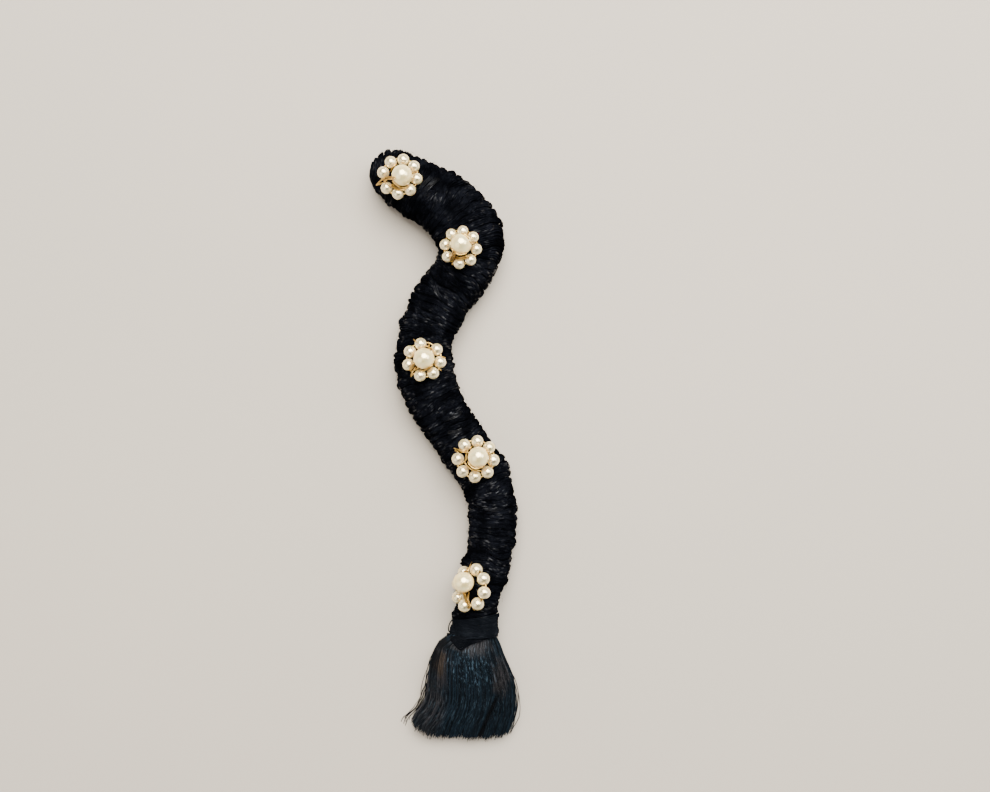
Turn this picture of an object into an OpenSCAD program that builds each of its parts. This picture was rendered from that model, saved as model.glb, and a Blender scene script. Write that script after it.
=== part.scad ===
// Braid ornament: a thread-wound snake-shaped body with five pearl flowers and a silk tassel.
// It lies on its back on the floor, +Y towards the round end, +Z out of the flowers.

/* [Wound body] */
// Length of the wound body, from the round end to the neck
body_len = 113; // [100:1:125]
// Width of the body where it is thickest
body_w = 16.2; // [13:0.2:17]
// Height of the body where it is thickest
body_t = 13; // [10:0.5:16]
// Sideways swing that the bends of the body are shares of
sway_w = 24; // [8:1:26]
// Distance between the ridges of the wound thread
ridge_pitch = 2.4; // [1.8:0.1:3.6]
// Depth of the grooves between the ridges
ridge_dip = 0.35; // [0.1:0.05:0.6]

/* [Pearl flowers] */
// Diameter of the small pearls in each ring
ring_pearl_d = 2.9; // [2.5:0.1:3.3]
// Diameter of the raised pearl in the middle of each flower
centre_pearl_d = 5; // [4:0.1:5.6]
// Height of the middle pearl's centre over the ring
centre_lift = 2; // [1.6:0.1:3.5]
// Thickness of the gold wire
wire_d = 0.44; // [0.3:0.02:0.6]
// Room between the wire and the wall of a pearl's drilling, all round
bore_clear = 0.12; // [0.08:0.02:0.2]
// Room between neighbouring pearls on the wire
pearl_gap = 0.1; // [0.05:0.05:0.3]

/* [Neck] */
// Width of the bound neck
neck_w = 11.2; // [9:0.2:12]
// Height of the bound neck
neck_t = 8.8; // [7:0.2:10]
// Length of the binding along the neck
neck_len = 4.8; // [4:0.2:8]
// Thickness of the binding thread
neck_thread_d = 0.56; // [0.4:0.02:0.8]
// Stretch of the body's end that the binding covers
neck_cover = 1; // [0.6:0.1:1.6]

/* [Tassel] */
// Length of the tassel below the binding
tassel_len = 24.2; // [20:0.2:34]
// Width of the tassel at its foot
tassel_w = 24.6; // [18:0.2:30]
// Height of the tassel where it is thickest
tassel_t = 8; // [6:0.2:10]
// Width of one lock of silk
lock_w = 4.6; // [3.8:0.1:6]

/* [Clearances] */
// Room between pieces that touch on the real ornament
piece_gap = 0.1; // [0.06:0.02:0.2]

/* [Hidden] */
ornament_len = body_len - neck_cover + neck_len + tassel_len;
top_y = ornament_len / 2;
body_end_y = top_y - body_len;
body_sides = 18;
wire_sides = 6;
neck_sides = 28;
spline_steps = 10;

// Body sections. along and side place the centre line as shares of body_len and sway_w,
// width and height are shares of body_w and body_t.
body_rows = [
    // along, side, width, height
    [0.053, -0.76, 0.78, 0.79],
    [0.053, -0.53, 0.80, 0.82],
    [0.089, -0.21, 0.91, 0.90],
    [0.132, 0.08, 0.97, 0.97],
    [0.191, 0.25, 1.00, 1.00],
    [0.258, 0.18, 0.87, 0.88],
    [0.327, -0.06, 0.86, 0.86],
    [0.409, -0.20, 0.81, 0.82],
    [0.493, -0.18, 0.86, 0.87],
    [0.566, -0.01, 0.79, 0.79],
    [0.645, 0.23, 0.76, 0.76],
    [0.712, 0.42, 0.73, 0.73],
    [0.787, 0.48, 0.71, 0.71],
    [0.862, 0.44, 0.68, 0.71],
    [0.933, 0.36, 0.69, 0.71],
    [0.966, 0.31, 0.62, 0.69],
    [1.000, 0.30, 0.65, 0.67]
];

// Flower rows. run is the place along the centre line, across the place between the body's
// sides, lean the tilt to the right in degrees, open the direction of the wire's gap seen from
// above, far the extra angle between the two pearls opposite. size scales the pearls of the
// ring, shift_x and shift_y move the middle pearl by shares of its diameter, tail is the wire's
// tail in diameters of a ring pearl. stiff is 1 where the ring stays flat and 0 where it hangs
// down on the body all round.
flower_rows = [
    // run, across, lean, open, gap, far, pearls, size, shift_x, shift_y, tail, stiff
    [0.064, -0.10, 0, 193, 55, 0, 8, 1.00, 0.15, -0.06, 0.60, 0.55],
    [0.264, -0.20, -12, 238, 49, 0, 8, 0.94, 0.16, 0.04, 0.25, 0.55],
    [0.486, 0.05, 0, 227, 59, 15, 7, 1.02, 0.02, 0.03, 0.25, 0.55],
    [0.693, 0.13, 0, 154, 50, 0, 8, 1.04, 0.13, 0.09, 0.60, 0.55],
    [0.938, 0.03, -49, 270, 51, 14, 8, 1.06, 0.04, 0.18, 0.25, 0.90]
];
flower_count = len(flower_rows);

// Tassel outline. along is a share of tassel_len, left and right are shares of tassel_w from
// the neck's axis, height is a share of tassel_t.
tassel_rows = [
    // along, left, right, height
    [0.00, -0.24, 0.20, 1.00],
    [0.09, -0.35, 0.26, 1.00],
    [0.22, -0.43, 0.31, 0.97],
    [0.40, -0.49, 0.38, 0.88],
    [0.62, -0.53, 0.42, 0.74],
    [0.82, -0.61, 0.41, 0.58],
    [1.00, -0.65, 0.36, 0.42]
];

// Locks of the tassel. place runs from its left edge to its right one, reach is its length as
// a share of tassel_len, layer is 0 on the floor and 1 on top.
lock_rows = [
    // place, reach, layer
    [0.00, 0.87, 0],
    [0.17, 0.90, 0],
    [0.34, 0.96, 0],
    [0.52, 0.98, 0],
    [0.70, 0.99, 0],
    [0.87, 0.97, 0],
    [1.00, 0.93, 0],
    [0.10, 0.88, 1],
    [0.30, 0.95, 1],
    [0.50, 1.00, 1],
    [0.68, 0.98, 1],
    [0.88, 1.00, 1]
];

function mix(a, b, t) = a + (b - a) * t;
function smooth(t) = let (c = min(1, max(0, t))) c * c * (3 - 2 * c);
function unit(v) = v / norm(v);
function total(v, i = 0) = i < len(v) ? v[i] + total(v, i + 1) : 0;
function catmull(a, b, c, d, t) =
    ((2 * b) + (c - a) * t + (2 * a - 5 * b + 4 * c - d) * t * t
        + (3 * b - a - 3 * c + d) * t * t * t) / 2;

// Centre line of the body, with the width and height of each section
body_stations = [for (r = body_rows)
    [r[1] * sway_w, top_y - r[0] * body_len, r[2] * body_w, r[3] * body_t]];
station_last = len(body_stations) - 1;
function station(i) = body_stations[min(station_last, max(0, i))];
fine_line = [
    for (i = [0:station_last - 1], k = [0:spline_steps - 1])
        catmull(station(i - 1), station(i), station(i + 1), station(i + 2), k / spline_steps),
    body_stations[station_last]
];
function flat(p) = [p[0], p[1]];
fine_runs = [
    for (i = 0, s = 0; i < len(fine_line);
        i = i + 1,
        s = s + (i < len(fine_line) ? norm(flat(fine_line[i]) - flat(fine_line[i - 1])) : 0)) s
];
run_total = fine_runs[len(fine_runs) - 1];
line_tables = [for (c = [0:3]) [for (i = [0:len(fine_line) - 1]) [fine_runs[i], fine_line[i][c]]]];
function line_value(s, c) = lookup(s, line_tables[c]);
function line_point(s) = [line_value(s, 0), line_value(s, 1)];

// Direction of the centre line, taken over a stretch so that the rings don't cross in a bend
direction_span = 3;
function line_direction(s) =
    unit(line_point(min(run_total, s + direction_span)) - line_point(max(0, s - direction_span)));
function right_of(d) = [-d[1], d[0]];

// The body's end is round, and its other end takes the size of the neck's core
core_w = neck_w - 2 * (neck_thread_d + piece_gap);
core_t = neck_t - 2 * (neck_thread_d + piece_gap);
neck_x = body_stations[station_last][0];
shoulder_len = 2.5;
cap_len = body_rows[0][2] * body_w / 2;
function cap_share(s) = s >= cap_len ? 1 : sqrt(1 - pow(1 - s / cap_len, 2));
function neck_share(s) = smooth((s - (run_total - neck_cover - piece_gap - shoulder_len)) / shoulder_len);
// Heights of a section: its middle, its top half and its lower half, which the floor flattens
middle_share = 0.46;
lower_share = 0.5;
// [x, y, half width, middle height, top half, lower half, direction] at run s
function section(s) = let (
        c = cap_share(s),
        n = neck_share(s),
        w = line_value(s, 2) * c,
        t = line_value(s, 3),
        p = line_point(s)
    ) [
        mix(p[0], neck_x, n), p[1],
        mix(w, core_w, n) / 2,
        mix(t * middle_share, neck_t / 2, n),
        mix(t * (1 - middle_share) * c, core_t / 2, n),
        mix(t * lower_share * c, core_t / 2, n),
        unit(mix(line_direction(s), [0, -1], n))
    ];

ring_step = ridge_pitch / 3.4;
cap_rings = 6;
cap_runs = [for (i = [1:cap_rings]) cap_len * (1 - cos(90 * i / cap_rings))];
straight_rings = ceil((run_total - cap_len) / ring_step);
ring_runs = concat(cap_runs, [for (i = [1:straight_rings])
    cap_len + (run_total - cap_len) * i / straight_rings]);

// Groove between two ridges, which slants a little across the body
ridge_slant = 1.1;
function groove(s, a) = ridge_dip * (1 - neck_share(s))
    * (0.5 + 0.5 * cos(360 * (s + ridge_slant * cos(a)) / ridge_pitch));
function section_ring(s) = let (q = section(s), side = right_of(q[6])) [
    for (k = [0:body_sides - 1]) let (
        a = 360 * k / body_sides,
        dip = min(groove(s, a), q[2] / 3),
        reach = cos(a) * (q[2] - dip),
        rise = sin(a) * ((sin(a) > 0 ? q[4] : q[5]) - dip)
    ) [q[0] + side[0] * reach, q[1] + side[1] * reach, max(0, q[3] + rise)]
];

// Closed skin of rings of the same number of points, with flat ends
module skin(rings) {
    n = len(rings[0]);
    last = len(rings) - 1;
    faces = concat(
        [[for (k = [0:n - 1]) k]],
        [[for (k = [n - 1:-1:0]) last * n + k]],
        [for (i = [0:last - 1], k = [0:n - 1]) let (m = (k + 1) % n)
            [i * n + k, (i + 1) * n + k, i * n + m]],
        [for (i = [0:last - 1], k = [0:n - 1]) let (m = (k + 1) % n)
            [i * n + m, (i + 1) * n + k, (i + 1) * n + m]]
    );
    polyhedron(points = [for (r = rings) each r], faces = faces, convexity = 10);
}

module wound_body() {
    color("#15151a") skin([for (s = ring_runs) section_ring(s)]);
}

// Lift along the normal n that a ball of radius r, started at p, needs to rest on the body
resting_sections = [for (s = ring_runs) section(s)];
function nearest_section(p) = let (
        gaps = [for (q = resting_sections) norm([p[0] - q[0], p[1] - q[1]])],
        least = min(gaps)
    ) resting_sections[search(least, gaps)[0]];
function rest_lift(p, n, r) = let (
        q = nearest_section(p),
        side = right_of(q[6]),
        half_w = q[2] + r + piece_gap,
        half_t = q[4] + r + piece_gap,
        along_w = (n[0] * side[0] + n[1] * side[1]) / half_w,
        along_t = n[2] / half_t,
        start_w = ((p[0] - q[0]) * side[0] + (p[1] - q[1]) * side[1]) / half_w,
        start_t = (p[2] - q[3]) / half_t,
        a = along_w * along_w + along_t * along_t,
        b = 2 * (along_w * start_w + along_t * start_t),
        c = start_w * start_w + start_t * start_t - 1,
        root = b * b - 4 * a * c
    ) (root > 0 ? -b + sqrt(root) : -b) / (2 * a);

// Frame of a flower: its place on the body, its normal and two directions in its plane
function flower_section(f) = section(flower_rows[f][0] * run_total);
function flower_normal(f) = let (side = right_of(flower_section(f)[6]), lean = flower_rows[f][2])
    [side[0] * sin(lean), side[1] * sin(lean), cos(lean)];
function flower_e1(f) = let (n = flower_normal(f)) unit([1, 0, 0] - n[0] * n);
function flower_e2(f) = cross(flower_normal(f), flower_e1(f));
function flower_base(f) = let (q = flower_section(f), side = right_of(q[6]), v = flower_rows[f][1])
    [q[0] + side[0] * v * q[2], q[1] + side[1] * v * q[2], q[3] + q[4] * sqrt(1 - v * v)];

// Sizes of a flower's ring: the pearls touch but for pearl_gap, and the wire's gap leaves
// room for its two strands
function pearl_size(f) = ring_pearl_d * flower_rows[f][7];
function pearl_count(f) = flower_rows[f][6];
usual_radius = 1.5 * ring_pearl_d;
strand_turn = (wire_d + piece_gap) / usual_radius * 180 / PI;
function wire_gap(f) = let (n = pearl_count(f))
    max(flower_rows[f][4], (360 - flower_rows[f][5] + (n - 1) * strand_turn) / n);
function pearl_turn(f) = (360 - wire_gap(f) - flower_rows[f][5]) / (pearl_count(f) - 1);
function ring_radius(f) = (pearl_size(f) + pearl_gap) / (2 * sin(pearl_turn(f) / 2));
function corner_radius(f) = ring_radius(f) / cos(pearl_turn(f) / 2);
function far_pearl(f) = ceil(pearl_count(f) / 2);
function pearl_angle(f, k) = flower_rows[f][3] + wire_gap(f) / 2 + k * pearl_turn(f)
    + (k >= far_pearl(f) ? flower_rows[f][5] : 0);
function far_angle(f) = (pearl_angle(f, far_pearl(f) - 1) + pearl_angle(f, far_pearl(f))) / 2;
function in_plane(f, radius, angle, lift) = flower_base(f)
    + radius * (cos(angle) * flower_e1(f) + sin(angle) * flower_e2(f)) + lift * flower_normal(f);

// Lift of each ring pearl on the body, and of the wire's corners between them
function pearl_lifts(f) = [for (k = [0:pearl_count(f) - 1])
    rest_lift(in_plane(f, ring_radius(f), pearl_angle(f, k), 0), flower_normal(f), pearl_size(f) / 2)];
function corner_lifts(f) = let (
        lifts = pearl_lifts(f),
        last = pearl_count(f) - 1,
        top = max(lifts),
        high = [for (k = [0:last + 1]) max(lifts[max(0, k - 1)], lifts[min(last, k)])]
    ) [for (h = high) mix(h, top, flower_rows[f][11])];
ring_lifts = [for (f = [0:flower_count - 1]) corner_lifts(f)];

// The wire runs straight through each pearl, from the corner before it to the corner after it
function corner(f, k, side) = in_plane(f, corner_radius(f),
    pearl_angle(f, k) + side * pearl_turn(f) / 2, ring_lifts[f][k + (side + 1) / 2]);
function pearl_place(f, k) = (corner(f, k, -1) + corner(f, k, 1)) / 2;
function pearl_axis(f, k) = unit(corner(f, k, 1) - corner(f, k, -1));

// Shares of a ring pearl's diameter that place the wire's bare ends
bend_out = 0.17;
tail_drop = 0.3;
foot_out = 0.36;
foot_rise = 0.14;
notch_out = 0.08;

// Notch between two pearls that a strand crosses on top of, at half chord h between them
function notch_lift(f, h) = let (reach = pearl_size(f) / 2 + wire_d / 2 + piece_gap)
    sqrt(max(0, reach * reach - h * h)) + wire_d / 4;
function mean_lift(f) = total(ring_lifts[f]) / len(ring_lifts[f]);
function end_lift(f) = max(ring_lifts[f][0], ring_lifts[f][pearl_count(f)]);
function gap_notch(f) = in_plane(f, ring_radius(f) + notch_out * ring_pearl_d, flower_rows[f][3],
    end_lift(f) + notch_lift(f, ring_radius(f) * sin(wire_gap(f) / 2)) + wire_d);
function far_notch(f) = in_plane(f, ring_radius(f), far_angle(f), ring_lifts[f][far_pearl(f)]
    + notch_lift(f, ring_radius(f) * sin((pearl_turn(f) + flower_rows[f][5]) / 2)));
function far_foot(f) = in_plane(f, ring_radius(f) + foot_out * ring_pearl_d, far_angle(f),
    ring_lifts[f][far_pearl(f)] + foot_rise * ring_pearl_d);

// The middle pearl stands clear of the ring's pearls and of the body
function centre_shift(f) = centre_pearl_d * [flower_rows[f][8], flower_rows[f][9]];
function centre_flat(f) = flower_base(f) + centre_shift(f)[0] * flower_e1(f)
    + centre_shift(f)[1] * flower_e2(f);
function centre_clear(f) = let (
        reach = (centre_pearl_d + pearl_size(f)) / 2 + piece_gap,
        near = ring_radius(f) - norm(centre_shift(f))
    ) sqrt(max(0, reach * reach - near * near));
function centre_place(f) = centre_flat(f) + flower_normal(f) * max(
    mean_lift(f) + max(centre_lift, centre_clear(f)),
    max(ring_lifts[f]) + centre_clear(f),
    rest_lift(centre_flat(f), flower_normal(f), centre_pearl_d / 2));
function centre_axis(f) = let (
        n = flower_normal(f),
        v = far_notch(f) - gap_notch(f)
    ) unit(v - (v * n) * n);

// Points of a flower's wire: its tail on the body, the ring, the strand over the middle
function tail_point(f, out) = let (
        p = in_plane(f, corner_radius(f) + out, flower_rows[f][3] + 2, 0)
    ) p + flower_normal(f) * max(rest_lift(p, flower_normal(f), wire_d / 2),
        min(ring_lifts[f]) - tail_drop * ring_pearl_d);
function ring_corners(f) = [
    corner(f, 0, -1),
    for (k = [0:pearl_count(f) - 1]) each
        (k == far_pearl(f) - 1 && flower_rows[f][5] > 0)
            ? [corner(f, k, 1), corner(f, k + 1, -1)]
            : [corner(f, k, 1)]
];
// Room past the middle pearl's drilling before the strand bends
mouth = 0.16;
function wire_points(f) = concat(
    [for (out = [bend_out + flower_rows[f][10], bend_out]) tail_point(f, out * ring_pearl_d)],
    ring_corners(f),
    [gap_notch(f)],
    [for (side = [-1, 1])
        centre_place(f) + side * (centre_pearl_d / 2 + mouth) * centre_axis(f)],
    [far_notch(f), far_foot(f)]
);

// Sweep of a round section along points, its corners mitred
function turned(v, from, to) = let (w = cross(from, to), c = from * to)
    v + cross(w, v) + cross(w, cross(w, v)) / (1 + c);
function leg(path, i) = let (last = len(path) - 2) unit(path[min(last, i) + 1] - path[min(last, i)]);
function normals(path, i = 1, v = [[0, 0, 1]]) = let (
        start = i == 1 ? [unit(cross(leg(path, 0), [0.31, 0.17, 0.93]))] : v
    ) i >= len(path) - 1 ? start
        : normals(path, i + 1, concat(start, [turned(start[i - 1], leg(path, i - 1), leg(path, i))]));
function mitre_ring(path, frames, i, r, n) = let (
        last = len(path) - 1,
        j = min(i, last - 1),
        along = leg(path, j),
        before = leg(path, max(0, i - 1)),
        plane = i == 0 || i == last ? along : unit(before + along),
        u = frames[j],
        w = cross(along, u)
    ) [for (k = [0:n - 1]) let (
        q = r * (cos(360 * k / n) * u + sin(360 * k / n) * w)
    ) path[i] + q - along * ((q * plane) / (along * plane))];
module swept(path, d, n) {
    frames = normals(path);
    skin([for (i = [0:len(path) - 1]) mitre_ring(path, frames, i, d / 2, n)]);
}

module flower_wire(f) {
    color("#c8a24a") swept(wire_points(f), wire_d, wire_sides);
}

// A pearl at p, drilled along v
module pearl(d, p, v) {
    color("#e9e0cf")
    translate(p)
    rotate([0, acos(v[2]), atan2(v[1], v[0])])
    difference() {
        sphere(d = d, $fn = 48);
        cylinder(h = d + 1, d = wire_d + 2 * bore_clear, center = true, $fn = 24);
    }
}

module centre_pearl(f) {
    pearl(centre_pearl_d, centre_place(f), centre_axis(f));
}

module ring_pearl(f, k) {
    pearl(pearl_size(f), pearl_place(f, k), pearl_axis(f, k));
}

// Place of the neck: its axis runs along Y through the body's end
neck_z = neck_t / 2;
neck_top_y = body_end_y + neck_cover;
neck_foot_y = neck_top_y - neck_len;
neck_turns = max(3, round(neck_len / neck_thread_d));
function neck_ring(y, half_w, half_t) = [for (k = [0:neck_sides - 1]) let (a = 360 * k / neck_sides)
    [neck_x + cos(a) * half_w, y, neck_z + sin(a) * half_t]];
// The outline of the turns, out on each turn and in between two of them
turn_dip = 0.3 * neck_thread_d;
neck_outside = [for (i = [0:2 * neck_turns]) let (dip = i % 2 == 0 ? turn_dip : 0)
    neck_ring(neck_foot_y + neck_len * i / (2 * neck_turns), neck_w / 2 - dip, neck_t / 2 - dip)];
neck_inside = [for (y = [neck_top_y, neck_foot_y])
    neck_ring(y, core_w / 2 + piece_gap, core_t / 2 + piece_gap)];

module neck_binding() {
    rings = concat(neck_outside, neck_inside);
    n = neck_sides;
    count = len(rings);
    color("#101014") polyhedron(
        points = [for (r = rings) each r],
        faces = [for (i = [0:count - 1], k = [0:n - 1], half = [0, 1]) let (
            j = (i + 1) % count,
            m = (k + 1) % n
        ) half == 0 ? [i * n + k, i * n + m, j * n + k] : [i * n + m, j * n + m, j * n + k]],
        convexity = 6
    );
}

// A thin slice of silk across the tassel, its middle at x and z
slice_len = 0.3;
silk_sides = 10;
module silk_slice(x, y, z, w, t) {
    translate([x, y, z])
    scale([w, 1, t])
    rotate([90, 360 / silk_sides / 4, 0])
    cylinder(h = slice_len, d = 1, center = true, $fn = silk_sides);
}

// A value of the tassel's outline at a share of its length
function outline(share, c) = lookup(share, [for (r = tassel_rows) [r[0], r[c]]]);
function foot_y(share) = neck_foot_y - share * tassel_len;
layer_share = 0.62;
tip_share = 0.62;
lock_steps = [0, 0.16, 0.36, 0.6, 0.84, 1];

module lock_slice(row, step) {
    share = max(0.02, lock_steps[step] * row[1]);
    left = outline(share, 1) * tassel_w;
    right = outline(share, 2) * tassel_w;
    tip = step == len(lock_steps) - 1 ? tip_share : 1;
    w = min(lock_w, (right - left) * 0.7) * tip;
    edge = min(lock_w, (right - left) * 0.7) / 2;
    t = outline(share, 3) * tassel_t * layer_share * tip;
    rise = row[2] * outline(share, 3) * tassel_t * (1 - layer_share);
    silk_slice(neck_x + mix(left + edge, right - edge, row[0]), foot_y(share) + slice_len / 2,
        rise + t / 2, w, t);
}

module tassel() {
    color("#14161b") union() {
        hull() {
            silk_slice(neck_x, body_end_y - piece_gap - slice_len / 2, neck_z, core_w, core_t);
            silk_slice(neck_x, neck_foot_y, neck_z, core_w, core_t);
        }
        hull() {
            silk_slice(neck_x, neck_foot_y - slice_len / 2, neck_z, core_w, core_t);
            silk_slice(neck_x + (outline(0.16, 1) + outline(0.16, 2)) / 2 * tassel_w, foot_y(0.16),
                tassel_t / 2, (outline(0.16, 2) - outline(0.16, 1)) * tassel_w * 0.9, tassel_t * 0.9);
        }
        for (row = lock_rows, step = [0:len(lock_steps) - 2])
            hull() {
                lock_slice(row, step);
                lock_slice(row, step + 1);
            }
    }
}

function flower_name(f) = str("flower_", f + 1);

wound_body();
neck_binding();
tassel();
for (f = [0:flower_count - 1]) {
    flower_wire(f);
    centre_pearl(f);
    for (k = [0:pearl_count(f) - 1])
        ring_pearl(f, k);
}
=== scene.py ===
import math

import bpy
import numpy as np
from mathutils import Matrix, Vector


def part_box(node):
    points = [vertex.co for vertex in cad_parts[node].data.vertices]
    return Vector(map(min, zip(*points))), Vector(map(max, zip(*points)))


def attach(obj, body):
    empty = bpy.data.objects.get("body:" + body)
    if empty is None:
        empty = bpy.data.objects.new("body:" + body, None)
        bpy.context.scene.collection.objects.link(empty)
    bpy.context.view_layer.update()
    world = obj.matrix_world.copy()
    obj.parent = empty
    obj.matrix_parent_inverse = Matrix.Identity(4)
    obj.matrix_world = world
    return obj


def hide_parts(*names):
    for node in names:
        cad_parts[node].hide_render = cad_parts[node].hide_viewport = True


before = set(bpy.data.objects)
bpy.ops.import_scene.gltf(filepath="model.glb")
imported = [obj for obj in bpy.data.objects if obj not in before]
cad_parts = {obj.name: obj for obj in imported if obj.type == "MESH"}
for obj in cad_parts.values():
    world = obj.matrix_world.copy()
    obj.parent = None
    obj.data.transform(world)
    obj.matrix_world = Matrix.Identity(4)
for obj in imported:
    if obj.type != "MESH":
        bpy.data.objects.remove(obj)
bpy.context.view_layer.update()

mm = 0.001
luck = np.random.default_rng(11)

# Camera, floor and light

viewSizes = {
    "aim": (12.0 * mm, 11.2 * mm, 6.0 * mm),
    "distance": 300 * mm,
    "elevation": 88,  # degrees above the floor
    "lens": 45.45,
    "sensor": 36.0,
    "nearest": 10 * mm,
    "floorWidth": 3.0,
}
lightSizes = {
    # name: place, size, watts, colour
    "window": ((0.05, 0.30, 0.55), 0.60, 14.9, (1.0, 0.985, 0.955)),
    "roomFill": ((0.40, 0.16, 0.40), 0.36, 2.4, (0.96, 0.98, 1.0)),
    "sideGlow": ((-0.40, -0.15, 0.45), 0.60, 1.4, (1.0, 0.97, 0.94)),
}
roomLooks = {
    "tone": (0.84, 0.83, 0.82, 1),
    "walls": 1.25,  # strength of what comes from low down
    "ceiling": 0.14,
    "fade": (0.2, 0.8),  # how far up the one ends and the other begins, 1 is straight up
}


def makeCamera(sizes):
    data = bpy.data.cameras.new("camera")
    camera = bpy.data.objects.new("camera", data)
    bpy.context.collection.objects.link(camera)
    slope = math.radians(sizes["elevation"])
    back = Vector((0, -math.cos(slope), math.sin(slope)))
    camera.location = Vector(sizes["aim"]) + back * sizes["distance"]
    camera.rotation_euler = (math.pi / 2 - slope, 0, 0)
    data.lens = sizes["lens"]
    data.sensor_width = sizes["sensor"]
    data.clip_start = sizes["nearest"]
    bpy.context.scene.camera = camera


def makeLamps(sizes, aim):
    for name, (place, size, watts, tone) in sizes.items():
        data = bpy.data.lights.new(name, "AREA")
        data.shape = "DISK"
        data.size = size
        data.energy = watts
        data.color = tone
        lamp = bpy.data.objects.new(name, data)
        lamp.location = place
        lamp.rotation_euler = (Vector(aim) - Vector(place)).to_track_quat("-Z", "Y").to_euler()
        bpy.context.collection.objects.link(lamp)


def makeRoom(looks):
    # A room whose walls are brighter than its ceiling
    world = bpy.data.worlds.new("studio")
    world.use_nodes = True
    bpy.context.scene.world = world
    backdrop = world.node_tree.nodes["Background"]
    backdrop.inputs["Color"].default_value = looks["tone"]
    graph = Graph(world.node_tree)
    rise = graph.split(graph.add("ShaderNodeTexCoord").out("Generated"))[2]
    strength = graph.add("ShaderNodeMapRange", {}, {
        "Value": rise, "From Min": looks["fade"][0], "From Max": looks["fade"][1],
        "To Min": looks["walls"], "To Max": looks["ceiling"]})
    feedShader(graph, backdrop, Strength=strength)


# Node trees, written as sums

class Wire:
    # One output of a node. Sums of wires and numbers add Math or Vector Math nodes.
    def __init__(self, graph, socket):
        self.graph = graph
        self.socket = socket

    def out(self, key):
        return Wire(self.graph, pickSocket(self.socket.node.outputs, key))

    def sum(self, operation, first, second):
        kind = "ShaderNodeVectorMath" if isVector(first) or isVector(second) else "ShaderNodeMath"
        return self.graph.add(kind, {"operation": operation}, {0: first, 1: second})

    def __add__(self, other):
        return self.sum("ADD", self, other)

    def __radd__(self, other):
        return self.sum("ADD", other, self)

    def __sub__(self, other):
        return self.sum("SUBTRACT", self, other)

    def __rsub__(self, other):
        return self.sum("SUBTRACT", other, self)

    def __mul__(self, other):
        return self.sum("MULTIPLY", self, other)

    def __rmul__(self, other):
        return self.sum("MULTIPLY", other, self)

    def __truediv__(self, other):
        return self.sum("DIVIDE", self, other)


def isVector(value):
    if isinstance(value, Wire):
        return value.socket.type in {"VECTOR", "RGBA"}
    return isinstance(value, tuple)


def pickSocket(sockets, key):
    shown = [s for s in sockets if s.enabled]
    return shown[key] if isinstance(key, int) else next(s for s in shown if s.name == key)


class Graph:
    # Adds nodes to a tree: add takes a node's type, its settings and the values or wires of its sockets
    def __init__(self, tree):
        self.tree = tree

    def add(self, kind, settings=None, values=None):
        node = self.tree.nodes.new(kind)
        for name, value in (settings or {}).items():
            setattr(node, name, value)
        for key, value in (values or {}).items():
            socket = pickSocket(node.inputs, key)
            if isinstance(value, Wire):
                self.tree.links.new(value.socket, socket)
            elif socket.type in {"VECTOR", "RGBA"} and not isinstance(value, tuple):
                socket.default_value = (value,) * len(socket.default_value)
            else:
                socket.default_value = value
        return Wire(self, pickSocket(node.outputs, 0)) if node.outputs else None

    def maths(self, operation, *values):
        return self.add("ShaderNodeMath", {"operation": operation}, dict(enumerate(values)))

    def most(self, first, second):
        return self.maths("MAXIMUM", first, second)

    def ramp(self, value, low, high):  # 0 below low and 1 above high, smooth in between
        return self.add("ShaderNodeMapRange", {"interpolation_type": "SMOOTHSTEP"},
                        {"Value": value, "From Min": low, "From Max": high})

    def noise(self, place, scale, detail):
        return self.add("ShaderNodeTexNoise", {}, {"Vector": place, "Scale": scale, "Detail": detail})

    def waver(self, place, detail):  # noise along a line, about 0
        return self.add("ShaderNodeTexNoise", {"noise_dimensions": "1D"}, {
            "W": place, "Scale": 1.0, "Detail": detail}) - 0.5

    def blend(self, share, first, second):  # mixes two colours
        return self.add("ShaderNodeMix", {"data_type": "RGBA"}, {"Factor": share, "A": first, "B": second})

    def bump(self, strength, distance, height):
        return self.add("ShaderNodeBump", {}, {"Strength": strength, "Distance": distance, "Height": height})

    def join(self, x, y, z):
        return self.add("ShaderNodeCombineXYZ", {}, {"X": x, "Y": y, "Z": z})

    def split(self, vector):
        first = self.add("ShaderNodeSeparateXYZ", {}, {"Vector": vector})
        return first, first.out("Y"), first.out("Z")

    def chance(self, low, high, owner, seed):
        return self.add("FunctionNodeRandomValue", {"data_type": "FLOAT"},
                        {"Min": low, "Max": high, "ID": owner, "Seed": seed})

    def place(self):
        return self.add("GeometryNodeInputPosition")

    def move(self, geometry, place):
        return self.add("GeometryNodeSetPosition", {}, {"Geometry": geometry, "Position": place})

    def keep(self, geometry, name, value, kind="FLOAT_VECTOR"):  # stores an attribute on points
        return self.add("GeometryNodeStoreNamedAttribute", {"data_type": kind},
                        {"Geometry": geometry, "Name": name, "Value": value})

    def kept(self, name, kind="FLOAT_VECTOR"):
        return self.add("GeometryNodeInputNamedAttribute", {"data_type": kind}, {"Name": name})

    def sweep(self, curve, thickness, sides, scale=1.0):  # a round section along curves
        ring = self.add("GeometryNodeCurvePrimitiveCircle", {}, {
            "Resolution": sides, "Radius": thickness * 0.5})
        return self.add("GeometryNodeCurveToMesh", {}, {
            "Curve": curve, "Profile Curve": ring, "Scale": scale, "Fill Caps": True})


socketKinds = {bool: "NodeSocketBool", int: "NodeSocketInt", float: "NodeSocketFloat"}


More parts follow.
